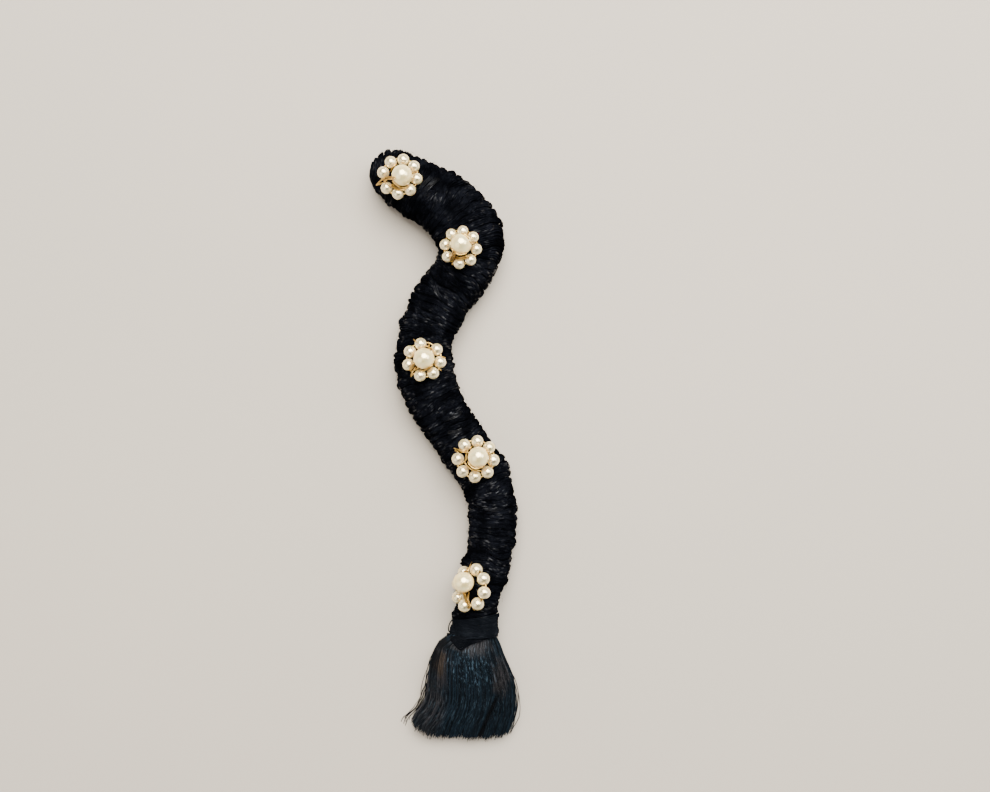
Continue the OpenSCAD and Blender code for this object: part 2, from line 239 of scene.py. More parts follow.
def makeTree(name, sizes):
    # A Geometry Nodes tree with one named input for each size
    tree = bpy.data.node_groups.new(name, "GeometryNodeTree")
    tree.interface.new_socket("Geometry", in_out="INPUT", socket_type="NodeSocketGeometry")
    for label, value in sizes.items():
        tree.interface.new_socket(label, in_out="INPUT", socket_type=socketKinds[type(value)])
    tree.interface.new_socket("Material", in_out="INPUT", socket_type="NodeSocketMaterial")
    tree.interface.new_socket("Geometry", in_out="OUTPUT", socket_type="NodeSocketGeometry")
    graph = Graph(tree)
    start = tree.nodes.new("NodeGroupInput")
    return graph, {s.name: Wire(graph, s) for s in start.outputs if s.name}


def endTree(graph, given, mesh):
    smooth = graph.add("GeometryNodeSetShadeSmooth", {}, {"Geometry": mesh})
    plain = graph.add("GeometryNodeRealizeInstances", {}, {"Geometry": smooth})
    last = graph.add("GeometryNodeSetMaterial", {}, {"Geometry": plain, "Material": given["Material"]})
    graph.add("NodeGroupOutput", {}, {"Geometry": last})
    return graph.tree


def runTree(name, tree, source, sizes, material):
    # Runs a tree on a mesh and keeps the result as a plain mesh
    worker = bpy.data.objects.new(name + ".guide", source)
    bpy.context.collection.objects.link(worker)
    modifier = worker.modifiers.new("nodes", "NODES")
    modifier.node_group = tree
    wanted = {**sizes, "Material": material}
    for item in tree.interface.items_tree:
        if item.in_out == "INPUT" and item.name in wanted:
            modifier[item.identifier] = wanted[item.name]
    bpy.context.view_layer.update()
    ready = worker.evaluated_get(bpy.context.evaluated_depsgraph_get())
    mesh = bpy.data.meshes.new_from_object(ready)
    mesh.name = name
    worker.modifiers.remove(modifier)
    bpy.data.objects.remove(worker)
    piece = bpy.data.objects.new(name, mesh)
    bpy.context.collection.objects.link(piece)
    print("  ", name, len(mesh.loop_triangles) or len(mesh.polygons), "faces")
    return piece


# Plain meshes

def keepRows(mesh, label, rows):
    layer = mesh.attributes.new(label, "FLOAT_VECTOR", "POINT")
    layer.data.foreach_set("vector", np.asarray(rows, np.float32).ravel())


def meshPiece(name, points, faces, material, **rows):
    mesh = bpy.data.meshes.new(name)
    mesh.from_pydata([tuple(p) for p in points], [], faces)
    mesh.update()
    mesh.materials.append(material)
    for label, values in rows.items():
        keepRows(mesh, label, values)
    mesh.shade_smooth()
    piece = bpy.data.objects.new(name, mesh)
    bpy.context.collection.objects.link(piece)
    return piece


def settle(piece, node):
    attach(piece, "root")
    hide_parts(node)


def loft(rings):
    # Closed skin over rings of the same number of points, with a middle point at each end
    rings = np.asarray(rings, float)
    count, around = rings.shape[:2]
    points = np.vstack([rings.reshape(-1, 3), rings[0].mean(0), rings[-1].mean(0)])
    faces = []
    for i in range(count - 1):
        for k in range(around):
            m = (k + 1) % around
            faces.append((i * around + k, i * around + m, (i + 1) * around + m, (i + 1) * around + k))
    for k in range(around):
        m = (k + 1) % around
        faces.append((count * around, m, k))
        faces.append((count * around + 1, (count - 1) * around + k, (count - 1) * around + m))
    return points, faces


def unit(vectors):
    # A vector, or each row of an array, brought to length 1
    vectors = np.asarray(vectors, float)
    return vectors / np.linalg.norm(vectors, axis=-1, keepdims=True)


def runsAlong(path):
    # Distances along a path from its start to each of its points
    return np.r_[0, np.cumsum(np.linalg.norm(np.diff(path, axis=0), axis=1))]


def circle(turns, side, other):
    return np.outer(np.cos(turns), side) + np.outer(np.sin(turns), other)


def tube(path, radius, sides):
    # Sweep of a round section along a path, its ends rounded off
    tipLength, tipWidth = 0.5, 0.6  # of the radius
    turns = np.linspace(0, 2 * math.pi, sides, endpoint=False)
    legs = unit(np.diff(path, axis=0))
    tangents = np.vstack([legs[0], unit(legs[:-1] + legs[1:]), legs[-1]])
    side = unit(np.cross(tangents[0], [0.31, 0.17, 0.93]))
    circles = []
    for along in tangents:
        side = unit(side - along * (side @ along))
        circles.append(radius * circle(turns, side, np.cross(along, side)))
    tip = radius * tipLength
    rings = [path[0] - tangents[0] * tip + circles[0] * tipWidth]
    rings += [middle + ring for middle, ring in zip(path, circles)]
    rings.append(path[-1] + tangents[-1] * tip + circles[-1] * tipWidth)
    return loft(rings)


def merge(parts):
    points, faces, start = [], [], 0
    for partPoints, partFaces in parts:
        points.append(partPoints)
        faces.extend(tuple(i + start for i in face) for face in partFaces)
        start += len(partPoints)
    return np.vstack(points), faces


def catmull(a, b, c, d, t):
    return (2 * b + (c - a) * t + (2 * a - 5 * b + 4 * c - d) * t**2 + (3 * b - a - 3 * c + d) * t**3) / 2


def smoothPath(points, steps):
    points = [np.asarray(p, float) for p in points]
    last = len(points) - 1
    line = []
    for i in range(last):
        a, b = points[max(0, i - 1)], points[i]
        c, d = points[i + 1], points[min(last, i + 2)]
        line += [catmull(a, b, c, d, k / steps) for k in range(steps)]
    return np.array(line + [points[last]])


def roundedPath(points, bend, steps=4):
    # Straight legs with each corner rounded off
    points = [np.asarray(p, float) for p in points]
    line = [points[0]]
    for a, b, c in zip(points, points[1:], points[2:]):
        before, after = a - b, c - b
        reach = min(bend, 0.45 * np.linalg.norm(before), 0.45 * np.linalg.norm(after))
        start, end = b + unit(before) * reach, b + unit(after) * reach
        for k in range(steps + 1):
            t = k / steps
            line.append(start * (1 - t)**2 + b * 2 * t * (1 - t) + end * t**2)
    return np.array(line + [points[-1]])


# Materials

def makeMaterial(name, constants):
    material = bpy.data.materials.new(name)
    material.use_nodes = True
    tree = material.node_tree
    shader = tree.nodes["Principled BSDF"]
    for label, value in constants.items():
        shader.inputs[label].default_value = value
    return material, Graph(tree), shader


def feedShader(graph, shader, **values):
    for label, wire in values.items():
        graph.tree.links.new(wire.socket, shader.inputs[label.replace("_", " ")])


def objectPlace(graph):
    return graph.add("ShaderNodeTexCoord").out("Object")


def ownAttribute(graph, name, output="Vector"):
    return graph.add("ShaderNodeAttribute", {"attribute_name": name}).out(output)


threadLooks = {
    "deep": (0.0008, 0.0009, 0.0013, 1),
    "worn": (0.0050, 0.0056, 0.0080, 1),
    "calmFrom": 40.0,  # above this place along Y in mm the glints are fewer
    "calmOver": 14.0,  # stretch in mm over which they grow fewer
    "filament": 0.08 * mm,  # width of one filament in the thread
    "twist": 0.12,  # how far the filaments turn across the thread on their way along it
    "streak": 1.1 * mm,  # length of one streak along it
    "dash": 2.2 * mm,  # length of one glint along it
    "patch": 4.0 * mm,  # size of the glossier places
    "open": 0.45,  # the lower, the more of them
    "gloss": 0.50,
    "matt": 0.95,
    "shine": 1.05,
    "sheen": 0.003,
    "relief": 0.018 * mm,
}


def threadMaterial(name, looks):
    material, graph, shader = makeMaterial(name, {
        "Specular IOR Level": 0.0, "Coat Roughness": 0.30, "Coat IOR": 1.55,
        "Coat Tint": (0.80, 0.88, 1.0, 1)})
    place = objectPlace(graph)
    along, across, rise = graph.split(ownAttribute(graph, "strand"))
    filament = looks["filament"]
    twisted = across + along * looks["twist"]
    fibres = graph.noise(graph.join(along / looks["streak"], twisted / filament, rise / filament), 1.0, 3.0)
    patches = graph.noise(place, 1 / looks["patch"], 2.0)
    dashes = graph.noise(graph.join(along / looks["dash"], 0.0, 0.0), 1.0, 1.0)
    tone = graph.blend(graph.ramp(fibres + patches * 0.6 - 0.3, 0.42, 0.68), looks["deep"], looks["worn"])
    glossy = graph.ramp(dashes, 0.52, 0.66) * graph.ramp(patches, looks["open"], looks["open"] + 0.15)
    height = graph.split(place / (1 * mm))[1]
    calm = graph.ramp(height, looks["calmFrom"], looks["calmFrom"] + looks["calmOver"])
    glossy = glossy * (1 - calm * 0.6)
    matt = looks["matt"] - glossy * (looks["matt"] - looks["gloss"])
    shine = (glossy * (0.30 + graph.ramp(fibres, 0.42, 0.60) * 0.70) + looks["sheen"]) * looks["shine"]
    feedShader(graph, shader, Base_Color=tone, Roughness=matt, Coat_Weight=shine,
               Normal=graph.bump(0.9, looks["relief"], fibres))
    return material


silkLooks = {
    "black": (0.0013, 0.0024, 0.0040, 1),
    "tealSheen": (0.0072, 0.0155, 0.0240, 1),
    "glint": (0.0620, 0.1000, 0.1300, 1),
    # the ash and brown colours paint the silk's sheen, grey where light catches it and brown where light
    # shines through it
    "ashSheen": (0.0600, 0.0560, 0.0570, 1),
    "brownSheen": (0.0310, 0.0275, 0.0280, 1),
    "rust": (0.0420, 0.0300, 0.0210, 1),
    "dark": (0.0012, 0.0014, 0.0020, 1),
    "dash": 1.7 * mm,  # length of one glint along a strand
    "reach": 24.2 * mm,  # length that the attribute along covers
    # painted shade lies along this line, where two locks part
    "partingShade": (-0.429, 38.41),  # slope and place in mm of the line where two locks part
    "drift": 4.0,  # how far in mm the patches' borders wander
    "ragged": 2.4,  # over how many mm the strands at a border take part one by one
}
# places on the tassel that hold its painted sheen, its painted glints and its darker patches
silkPatches = {
    # middle and half sizes, across and along, in mm
    "upper": (6.8, -52.6, 7.2, 6.5),
    "middle": (5.0, -60.0, 11.0, 9.0),
    "lowLeft": (-3.8, -63.5, 5.6, 9.5),
    "ashSheenArc": (6.9, -48.6, 5.6, 2.8),
    "ashSheenRight": (14.0, -55.5, 2.4, 4.8),
    "brownSheenLeft": (-0.2, -54.3, 2.6, 7.0),
    "brownSheenRight": (14.0, -56.0, 2.7, 5.4),
    "rust": (-0.3, -53.2, 1.7, 3.6),
    "darkLeft": (-2.8, -50.8, 2.8, 5.5),
    "darkTop": (0.0, -48.0, 3.2, 2.6),
}


def silkMaterial(looks):
    material, graph, shader = makeMaterial("tasselSilk", {
        "Specular IOR Level": 0.10, "Coat Roughness": 0.28, "Coat IOR": 1.5,
        "Coat Tint": (0.72, 0.88, 1.0, 1)})
    place = objectPlace(graph)
    x, y, _ = graph.split(place / (1 * mm))
    tint = ownAttribute(graph, "tint", "Fac")
    along = ownAttribute(graph, "along", "Fac")
    drift = (graph.noise(place, 1 / (4 * mm), 2.0) - 0.5) * looks["drift"]
    own = (tint - 0.5) * looks["ragged"]

    def patch(name):  # 1 in the middle of a place on the tassel, 0 outside it
        middleX, middleY, wide, tall = silkPatches[name]
        offX, offY = (x + drift + own - middleX) / wide, (y + drift - own - middleY) / tall
        return 1 - graph.ramp(offX * offX + offY * offY, 0.10, 1.0)

    # painted glints: each strand has dashes of its own, coloured as if it turned to the light there
    dashes = graph.noise(graph.join(along * (looks["reach"] / looks["dash"]), tint * 61.0, 0.0), 1.0, 2.0)
    lit = graph.ramp(dashes, 0.56, 0.65)
    # the painted glints are strongest in the upper middle, and somewhat stronger in the middle and at the low
    # left
    upper, lowLeft = patch("upper"), patch("lowLeft")
    strength = 0.16 + upper * 0.84 + patch("middle") * 0.10 + lowLeft * 0.12
    # painted blue sheen: some of the strands take a blue tint that stands in for the sky reflected off the
    # silk
    tealSheen = graph.ramp(tint, 0.30, 0.90) * (0.75 + upper * 0.05)
    tone = graph.blend(tealSheen, looks["black"], looks["tealSheen"])
    tone = graph.blend(lit * strength, tone, looks["glint"])
    # painted sheen of light off and through the silk: brown to the left and to the right, ash grey in an arc
    # below the binding
    mostBrownSheen = graph.most(patch("brownSheenLeft"), patch("brownSheenRight"))
    brownSheen = graph.most(mostBrownSheen, lowLeft * graph.ramp(tint + dashes, 0.85, 1.25) * 0.9)
    rust = patch("rust") * graph.ramp(tint, 0.3, 0.6) * 0.8
    ashSheen = graph.most(patch("ashSheenArc") * 0.8, patch("ashSheenRight") * 0.4)
    tone = graph.blend(brownSheen * graph.ramp(tint + lit * 0.6, 0.15, 1.1), tone, looks["brownSheen"])
    tone = graph.blend(rust, tone, looks["rust"])
    tone = graph.blend(ashSheen * graph.ramp(tint + lit * 0.6, 0.0, 0.95), tone, looks["ashSheen"])
    # darker patches at the upper left and just under the binding, and painted shade along the line where two
    # locks part
    slope, start = looks["partingShade"]
    line = graph.maths("ABSOLUTE", x + y * slope - start)
    partingShade = (1 - graph.ramp(line, 0.25, 0.75)) * graph.ramp(y * -1, 59.0, 62.0)
    dark = graph.most(graph.most(patch("darkLeft"), patch("darkTop")), partingShade)
    tone = graph.blend(dark * 0.95, tone, looks["dark"])
    shine = lit * (strength + brownSheen * 0.25) * (1 - dark) * 0.55
    grain = graph.noise(graph.join(x / 0.09, y / 1.5, tint * 40.0), 1.0, 2.0)
    feedShader(graph, shader, Base_Color=tone, Roughness=0.55 + grain * 0.3, Coat_Weight=shine,
               Normal=graph.bump(0.5, 0.02 * mm, grain))
    return material


wireLooks = {
    "gold": (0.74, 0.48, 0.14, 1),
    "deep": (0.30, 0.160, 0.028, 1),
    "wear": 1.1 * mm,  # size of the worn places
    "scuffs": 0.15 * mm,
}


def wireMaterial(looks):
    material, graph, shader = makeMaterial("goldWire", {"Specular IOR Level": 0.5})
    place = objectPlace(graph)
    wear = graph.noise(place, 1 / looks["wear"], 3.0)
    scuffs = graph.noise(place, 1 / looks["scuffs"], 2.0)
    tone = graph.blend(graph.ramp(wear, 0.40, 0.66), looks["gold"], looks["deep"])
    feedShader(graph, shader, Base_Color=tone, Roughness=0.18 + wear * 0.22 + scuffs * 0.10,
               Metallic=1 - graph.ramp(wear, 0.60, 0.85) * 0.25, Normal=graph.bump(0.35, 0.015 * mm, scuffs))
    return material


pearlLooks = {
    # colours of the top and of its clouds, of the sides, where warm light through the pearl is painted, and
    # of the painted shade on the underside, which also darkens the drilling's rims
    "largePearl": {
        "pale": (1.0, 0.87, 0.49, 1), "warm": (1.0, 0.81, 0.39, 1), "side": (1.0, 0.73, 0.30, 1),
        "shade": (0.98, 0.70, 0.32, 1), "metal": 0.12},
    "smallPearl": {
        "pale": (0.97, 0.85, 0.53, 1), "warm": (0.88, 0.73, 0.40, 1), "side": (0.90, 0.76, 0.47, 1),
        "shade": (0.52, 0.42, 0.21, 1), "metal": 0.40},
}


def pearlMaterial(name, looks):
    material, graph, shader = makeMaterial(name, {
        "Specular IOR Level": 0.5, "Coat Roughness": 0.10, "Coat IOR": 2.0, "Coat Tint": (1.0, 0.96, 0.86, 1),
        "Subsurface Weight": 0.08, "Subsurface Radius": (1.0, 0.62, 0.32), "Subsurface Scale": 0.4 * mm})
    place = objectPlace(graph)
    cloud = graph.noise(place, 1 / (1.5 * mm), 2.0)
    grain = graph.noise(place, 1 / (0.45 * mm), 2.0)
    # ball is a place on the pearl: round its drilling, up, and along the drilling
    _, height, depth = graph.split(ownAttribute(graph, "ball"))
    rim = graph.ramp(graph.maths("ABSOLUTE", depth), 0.80, 0.98)
    low = 1 - graph.ramp(height, -0.9, 0.30)
    crown = graph.ramp(height, 0.35, 0.95)
    tone = graph.blend(graph.ramp(cloud, 0.36, 0.66), looks["pale"], looks["warm"])
    # painted warm light round the pearl's side, where light through it would glow
    tone = graph.blend((1 - graph.ramp(height, 0.15, 0.85)) * 0.75, tone, looks["side"])
    # painted shade towards the underside and at the drilling's rims, with random grain mixed in
    tone = graph.blend(graph.ramp(grain, 0.55, 0.80) * 0.20 + rim * 0.5 + low * 0.4, tone, looks["shade"])
    feedShader(graph, shader, Base_Color=tone, Roughness=0.20 + grain * 0.10, Coat_Weight=0.55 + cloud * 0.6,
               Metallic=crown * 0.5 + looks["metal"], Normal=graph.bump(0.20, 0.015 * mm, grain))
    return material


floorLooks = {
    "pale": (0.464, 0.408, 0.335, 1),
    "dim": (0.449, 0.398, 0.329, 1),
    "clouds": 9.0,  # to a metre
}


def floorMaterial(looks):
    material, graph, shader = makeMaterial("paleFloor", {"Specular IOR Level": 0.15})
    broad = graph.noise(objectPlace(graph), looks["clouds"], 2.0)
    tone = graph.blend(graph.ramp(broad, 0.3, 0.7), looks["pale"], looks["dim"])
    feedShader(graph, shader, Base_Color=tone, Roughness=0.75 + broad * 0.1)
    return material


print("camera, floor and light")
makeCamera(viewSizes)
makeLamps(lightSizes, viewSizes["aim"])
makeRoom(roomLooks)
half = viewSizes["floorWidth"] / 2
floorPiece = meshPiece("floor", [(-half, -half, 0), (half, -half, 0), (half, half, 0), (-half, half, 0)],
                       [(0, 1, 2, 3)], floorMaterial(floorLooks))

print("finishes")
fineLooks = {**threadLooks, "filament": 0.06 * mm, "dash": 3.5 * mm, "shine": 0.12, "relief": 0.03 * mm}
bodyThread = threadMaterial("bodyThread", threadLooks)
neckThread = threadMaterial("neckThread", {
    **fineLooks, "deep": (0.0030, 0.0037, 0.0050, 1), "worn": (0.0078, 0.0092, 0.0118, 1)})
# the neck's thread in darker colours, which paint shade onto the point where the binding crosses the tassel's
# head
shadedPointThread = threadMaterial("shadedPointThread", {
    **fineLooks, "deep": (0.0018, 0.0021, 0.0028, 1), "worn": (0.0046, 0.0052, 0.0066, 1)})
glossyThread = threadMaterial("glossyThread", {
    **threadLooks, "dash": 3.0 * mm, "open": 0.15, "shine": 1.0, "sheen": 0.10})
hairThread = threadMaterial("hairThread", {**threadLooks, "shine": 0.0})
tasselSilk = silkMaterial(silkLooks)
goldWire = wireMaterial(wireLooks)
largePearl, smallPearl = (pearlMaterial(name, looks) for name, looks in pearlLooks.items())

# The body's shape: the same rows as the CAD model has

bodySizes = {
    "length": 113.0 * mm,
    "width": 16.2 * mm,
    "height": 13.0 * mm,
    "sway": 24.0 * mm,
    "top": 70.5 * mm,  # where its round end begins on Y
    "middleShare": 0.46,
    "lowerShare": 0.5,
    "span": 3.0 * mm,  # stretch over which the direction is taken
    "shoulder": 2.5 * mm,
    "cover": 1.1 * mm,  # stretch that the neck's binding hides
}
neckSizes = {
    "width": 11.2 * mm,
    "height": 8.8 * mm,
    "length": 4.8 * mm,
    "wall": 0.66 * mm,
    "top": -41.5 * mm,
    "slant": 6,  # degrees by which its highest turn lies aslant
}
bodyRows = np.array([
    # along, side, width, height
    [0.053, -0.76, 0.78, 0.79],
    [0.053, -0.53, 0.80, 0.82],
    [0.089, -0.21, 0.91, 0.90],
    [0.132, 0.08, 0.97, 0.97],
    [0.191, 0.25, 1.00, 1.00],
    [0.258, 0.18, 0.87, 0.88],
    [0.327, -0.06, 0.86, 0.86],
    [0.409, -0.20, 0.81, 0.82],
    [0.493, -0.18, 0.86, 0.87],
    [0.566, -0.01, 0.79, 0.79],
    [0.645, 0.23, 0.76, 0.76],
    [0.712, 0.42, 0.73, 0.73],
    [0.787, 0.48, 0.71, 0.71],
    [0.862, 0.44, 0.68, 0.71],
    [0.933, 0.36, 0.69, 0.71],
    [0.966, 0.31, 0.62, 0.69],
    [1.000, 0.30, 0.65, 0.67],
])
stations = np.column_stack([
    bodyRows[:, 1] * bodySizes["sway"], bodySizes["top"] - bodyRows[:, 0] * bodySizes["length"],
    bodyRows[:, 2] * bodySizes["width"], bodyRows[:, 3] * bodySizes["height"]])
bodyLine = smoothPath(stations, 10)
bodyRuns = runsAlong(bodyLine[:, :2])
runTotal = bodyRuns[-1]
capLength = stations[0, 2] / 2
neckX = stations[-1, 0]
neckZ = neckSizes["height"] / 2
neckFoot = neckSizes["top"] - neckSizes["length"]


def lineValue(run, column):
    return np.interp(run, bodyRuns, bodyLine[:, column])


def linePoint(run):
    return np.array([lineValue(run, 0), lineValue(run, 1)])


def smoothStep(t):
    t = min(1.0, max(0.0, t))
    return t * t * (3 - 2 * t)


def bodySection(run):
    # Middle point, half sizes and side direction of the body at a run along its line
    cap = math.sqrt(max(0, 1 - (1 - run / capLength)**2)) if run < capLength else 1.0
    neck = smoothStep((run - (runTotal - bodySizes["cover"] - bodySizes["shoulder"])) / bodySizes["shoulder"])
    point = linePoint(run)
    direction = unit(linePoint(run + bodySizes["span"]) - linePoint(run - bodySizes["span"]))
    direction = unit(direction * (1 - neck) + np.array([0, -1]) * neck)
    width, height = lineValue(run, 2), lineValue(run, 3)
    coreWidth = neckSizes["width"] - 2 * neckSizes["wall"]
    coreHeight = neckSizes["height"] - 2 * neckSizes["wall"]

    def towards(value, end):
        return value * (1 - neck) + end * neck

    middle = np.array([towards(point[0], neckX), point[1],
                       towards(height * bodySizes["middleShare"], neckZ)])
    halves = np.array([
        towards(width * cap, coreWidth) / 2,
        towards(height * (1 - bodySizes["middleShare"]) * cap, coreHeight / 2),
        towards(height * bodySizes["lowerShare"] * cap, coreHeight / 2)])
    return middle, halves, np.array([-direction[1], direction[0], 0])


def guideMesh(name, sections):
    # The guide that the thread trees read: middle points, with half sizes and side directions
    mesh = bpy.data.meshes.new(name)
    mesh.from_pydata([tuple(s[0]) for s in sections], [(i, i + 1) for i in range(len(sections) - 1)], [])
    for label, column in (("halves", 1), ("side", 2)):
        keepRows(mesh, label, [s[column] for s in sections])
    return mesh


def evenRuns(count):
    # Runs that lie at even distances over the skin, so that the round end gets its share
    fine = np.linspace(0, runTotal, 3000)
    over = runsAlong(np.column_stack([fine, [bodySection(run)[1][0] for run in fine]]))
    return np.interp(np.linspace(0, over[-1], count), over, fine), float(over[-1])


bodySteps, skinLength = evenRuns(420)
bodySections = [bodySection(run) for run in bodySteps]
print("body line", round(runTotal / mm, 1), "mm, over the skin", round(skinLength / mm, 1), "mm")


# Winding: one thread in close turns along a guide

def guideCurve(graph, given):
    # Keeps each guide point's place as an attribute and lays the guide out straight
    marked = graph.keep(given["Geometry"], "middle", graph.place())
    laid = graph.move(marked, graph.join(graph.add("GeometryNodeInputIndex"), 0.0, 0.0))
    return graph.add("GeometryNodeMeshToCurve", {}, {"Mesh": laid})


def guideValue(graph, guide, name, share):
    return graph.add("GeometryNodeSampleCurve", {"data_type": "FLOAT_VECTOR"},
                     {"Curves": guide, "Value": graph.kept(name), "Factor": share})


def onSkin(graph, guide, share, angle, lift, least):
    # A place at a share along the guide and an angle round it, lifted off its skin
    middle = guideValue(graph, guide, "middle", share)
    side = guideValue(graph, guide, "side", share)
    halfWidth, topHalf, lowHalf = graph.split(guideValue(graph, guide, "halves", share))
    cosine, sine = graph.maths("COSINE", angle), graph.maths("SINE", angle)
    halfHeight = lowHalf + (topHalf - lowHalf) * graph.maths("GREATER_THAN", sine, 0.0)
    across = cosine * graph.most(halfWidth + lift, least)
    rise = sine * graph.most(halfHeight + lift, least)
    x, y, z = graph.split(middle + side * across)
    return graph.join(x, y, graph.most(z + rise, least))


def threadMesh(graph, given, curve):
    # The thread's round section along a curve, with strand = (along, across, height) kept for the finish
    length = graph.add("GeometryNodeSplineParameter").out("Length")
    curve = graph.keep(curve, "core", graph.place())
    curve = graph.keep(curve, "strand", graph.join(length, 0.0, 0.0))
    mesh = graph.sweep(curve, given["Thread thickness"], given["Thread sides"])
    off = graph.place() - graph.kept("core")
    sideX, sideY, _ = graph.split(graph.kept("side"))
    along = graph.split(graph.kept("strand"))[0]
    across = graph.add("ShaderNodeVectorMath", {"operation": "DOT_PRODUCT"},
                       {0: off, 1: graph.join(sideY, -1 * sideX, 0.0)})
    size = graph.add("ShaderNodeVectorMath", {"operation": "LENGTH"}, {0: off})
    height = graph.maths("SQRT", graph.most(size * size - across * across, 0.0))
    mesh = graph.keep(mesh, "strand", graph.join(along, across, height))
    for name in ("core", "side"):
        mesh = graph.add("GeometryNodeRemoveAttribute", {}, {"Geometry": mesh, "Name": name})
    return mesh


windingSizes = {
    "From": 0.0,
    "To": 1.0,
    "Turns": 430.0,
    "Points per turn": 64.0,
    "Thread thickness": 0.50 * mm,
    "Thread sides": 6,
    "Inset": 0.36 * mm,
    "Threads in a yarn": 5.4,
    "Yarn height": 0.34 * mm,
    "Yarn change": 0.8,  # how unequal the yarns are
    "Threads in a ridge": 2.7,  # finer ridges on the yarns
    "Ridge height": 0.10 * mm,
    "Yarn pull": 0.10 * mm,  # how far a yarn's threads draw together
    "Knobs round": 2.0,  # how often a yarn swells round the body
    "Knob height": 0.28 * mm,
    "Lump width": 6.0 * mm,
    "Lump height": 0.40 * mm,
    "Slant": 1.1 * mm,
    "Thread drift": 0.05 * mm,
    "Thread lift": 0.022 * mm,
    "Lowest": 0.29 * mm,  # how near the floor a thread's middle may lie
    "Skin length": skinLength,
    "Seed": 3,
}
nubReach = 0.62  # how far a nub reaches up and down from its middle, as a share of its height
nubNarrow = 9.0  # the larger, the less far a nub goes round


def windingTree(name, nubs):
    graph, given = makeTree(name, windingSizes)
    guide = guideCurve(graph, given)
    part = given["To"] - given["From"]
    count = graph.maths("ROUND", given["Turns"] * part * given["Points per turn"])
    points = graph.add("GeometryNodeResampleCurve", {"mode": "COUNT"}, {
        "Curve": graph.add("GeometryNodeCurvePrimitiveLine"), "Count": count})
    share = given["From"] + part * graph.add("GeometryNodeInputIndex") / (count - 1)
    turn = share * given["Turns"]
    angle = turn * (2 * math.pi)
    shift = given["Seed"] * 7.3
    # each yarn is a few threads side by side: high in its middle, its threads drawn together
    yarn = turn / given["Threads in a yarn"] + graph.waver(turn * 0.09 + shift, 0.0) * given["Yarn change"]
    across = graph.maths("FRACT", yarn) * 2.0 - 1.0
    crown = graph.maths("POWER", graph.most(1 - across * across, 0.0), 0.7)
    ridge = graph.maths("FRACT", turn / given["Threads in a ridge"]) * 2.0 - 1.0
    # knobs are places where a yarn swells, lumps and slants are wide patches on the skin
    around = given["Knobs round"]
    ringPlace = graph.join(yarn * 0.7 + shift, graph.maths("COSINE", angle) * around,
                           graph.maths("SINE", angle) * around)
    patch = onSkin(graph, guide, share, angle, 0.0, 0.1 * mm) / given["Lump width"] + shift
    knob = graph.noise(ringPlace, 1.0, 1.0) - 0.5
    lump = graph.noise(patch, 1.0, 1.0) - 0.5
    slant = graph.noise(patch * 0.8 + 11.3, 1.0, 1.5) - 0.5
    # a noise stays within about 0.3 of its middle, and 2.4 and 3.0 bring it to about -1 to 1
    drift = graph.waver(turn * 2.3 + shift, 1.0) * 3.0 * given["Thread drift"]
    wobble = graph.waver(turn * 3.1 + shift + 50.0, 1.0) * 3.0 * given["Thread lift"]
    slide = slant * 3.0 * given["Slant"] - across * given["Yarn pull"] + drift
    lift = (crown * (1 + knob * 2.4 + slant * 1.6) - 0.5) * given["Yarn height"]
    lift = lift + knob * 3.0 * given["Knob height"] + (0.5 - ridge * ridge) * given["Ridge height"]
    lift = lift + lump * 2.4 * given["Lump height"] + wobble
    bulge = 0.0
    for nubShare, nubAngle, out, tall in nubs:
        off = (share - nubShare) * given["Skin length"] / (tall * nubReach)
        turned = (1 - graph.maths("COSINE", angle - nubAngle)) * nubNarrow
        bulge = graph.ramp(1 - off * off - turned, 0.0, 1.0) * out + bulge
    # the drift dies out at both ends, where the winding meets the pole and the neck
    calm = graph.ramp(share, 0.0, 0.025) * (1 - graph.ramp(share, 0.98, 1.0))
    moved = share + slide * calm / given["Skin length"]
    lift = lift * calm + bulge - given["Inset"]
    curve = graph.move(points, onSkin(graph, guide, moved, angle, lift, given["Lowest"]))
    curve = graph.keep(curve, "side", guideValue(graph, guide, "side", share))
    return endTree(graph, given, threadMesh(graph, given, curve))


bodyNubs = [
    # run along the body in mm, degrees round it (0 right, 90 top), how far out and how tall in mm
    (6.5, 200, 0.3, 3.0), (25.5, 145, 1.0, 2.5), (31.4, 10, 0.35, 6.0), (55.2, 180, 0.8, 1.7),
    (62.9, 175, 0.6, 4.5), (64.8, 10, 0.4, 1.5), (74.1, 160, 0.3, 1.2), (79.1, 165, 0.4, 1.2),
    (93.8, 0, 0.75, 5.5), (102.6, 0, 0.4, 1.5), (103.9, 180, 0.4, 1.5), (109.8, 10, 0.5, 2.0),
    (116.2, 175, 0.8, 3.5), (122.5, 0, -0.7, 5.0), (125.2, 180, -0.7, 4.5), (128.8, 182, 0.8, 2.6),
    (127.2, -5, 0.5, 2.0),
]

print("winding")
evenShares = np.linspace(0, 1, len(bodySteps))
nubs = [(float(np.interp(run * mm, bodySteps, evenShares)), math.radians(degrees), out * mm, tall * mm)
        for run, degrees, out, tall in bodyNubs]
windTree = windingTree("bodyWinding", nubs)
bodyGuide = guideMesh("bodyGuide", bodySections)
for number in (1, 2, 3):
    piece = runTree(f"winding{number}", windTree, bodyGuide,
                    {**windingSizes, "From": (number - 1) / 3, "To": number / 3}, bodyThread)
    settle(piece, "wound_body")

# Dark core under the winding, so that nothing shows between the turns

coreSizes = {
    "inset": 0.62 * mm,  # under the skin
    "neckInset": 0.36 * mm,
    "neckEnd": 0.2 * mm,  # from each end of the binding to its core
    "thinnest": 0.1 * mm,  # least half size
    "overFloor": 0.25 * mm,
    "points": 40,  # round each ring
}
turns = np.linspace(0, 2 * math.pi, coreSizes["points"], endpoint=False)


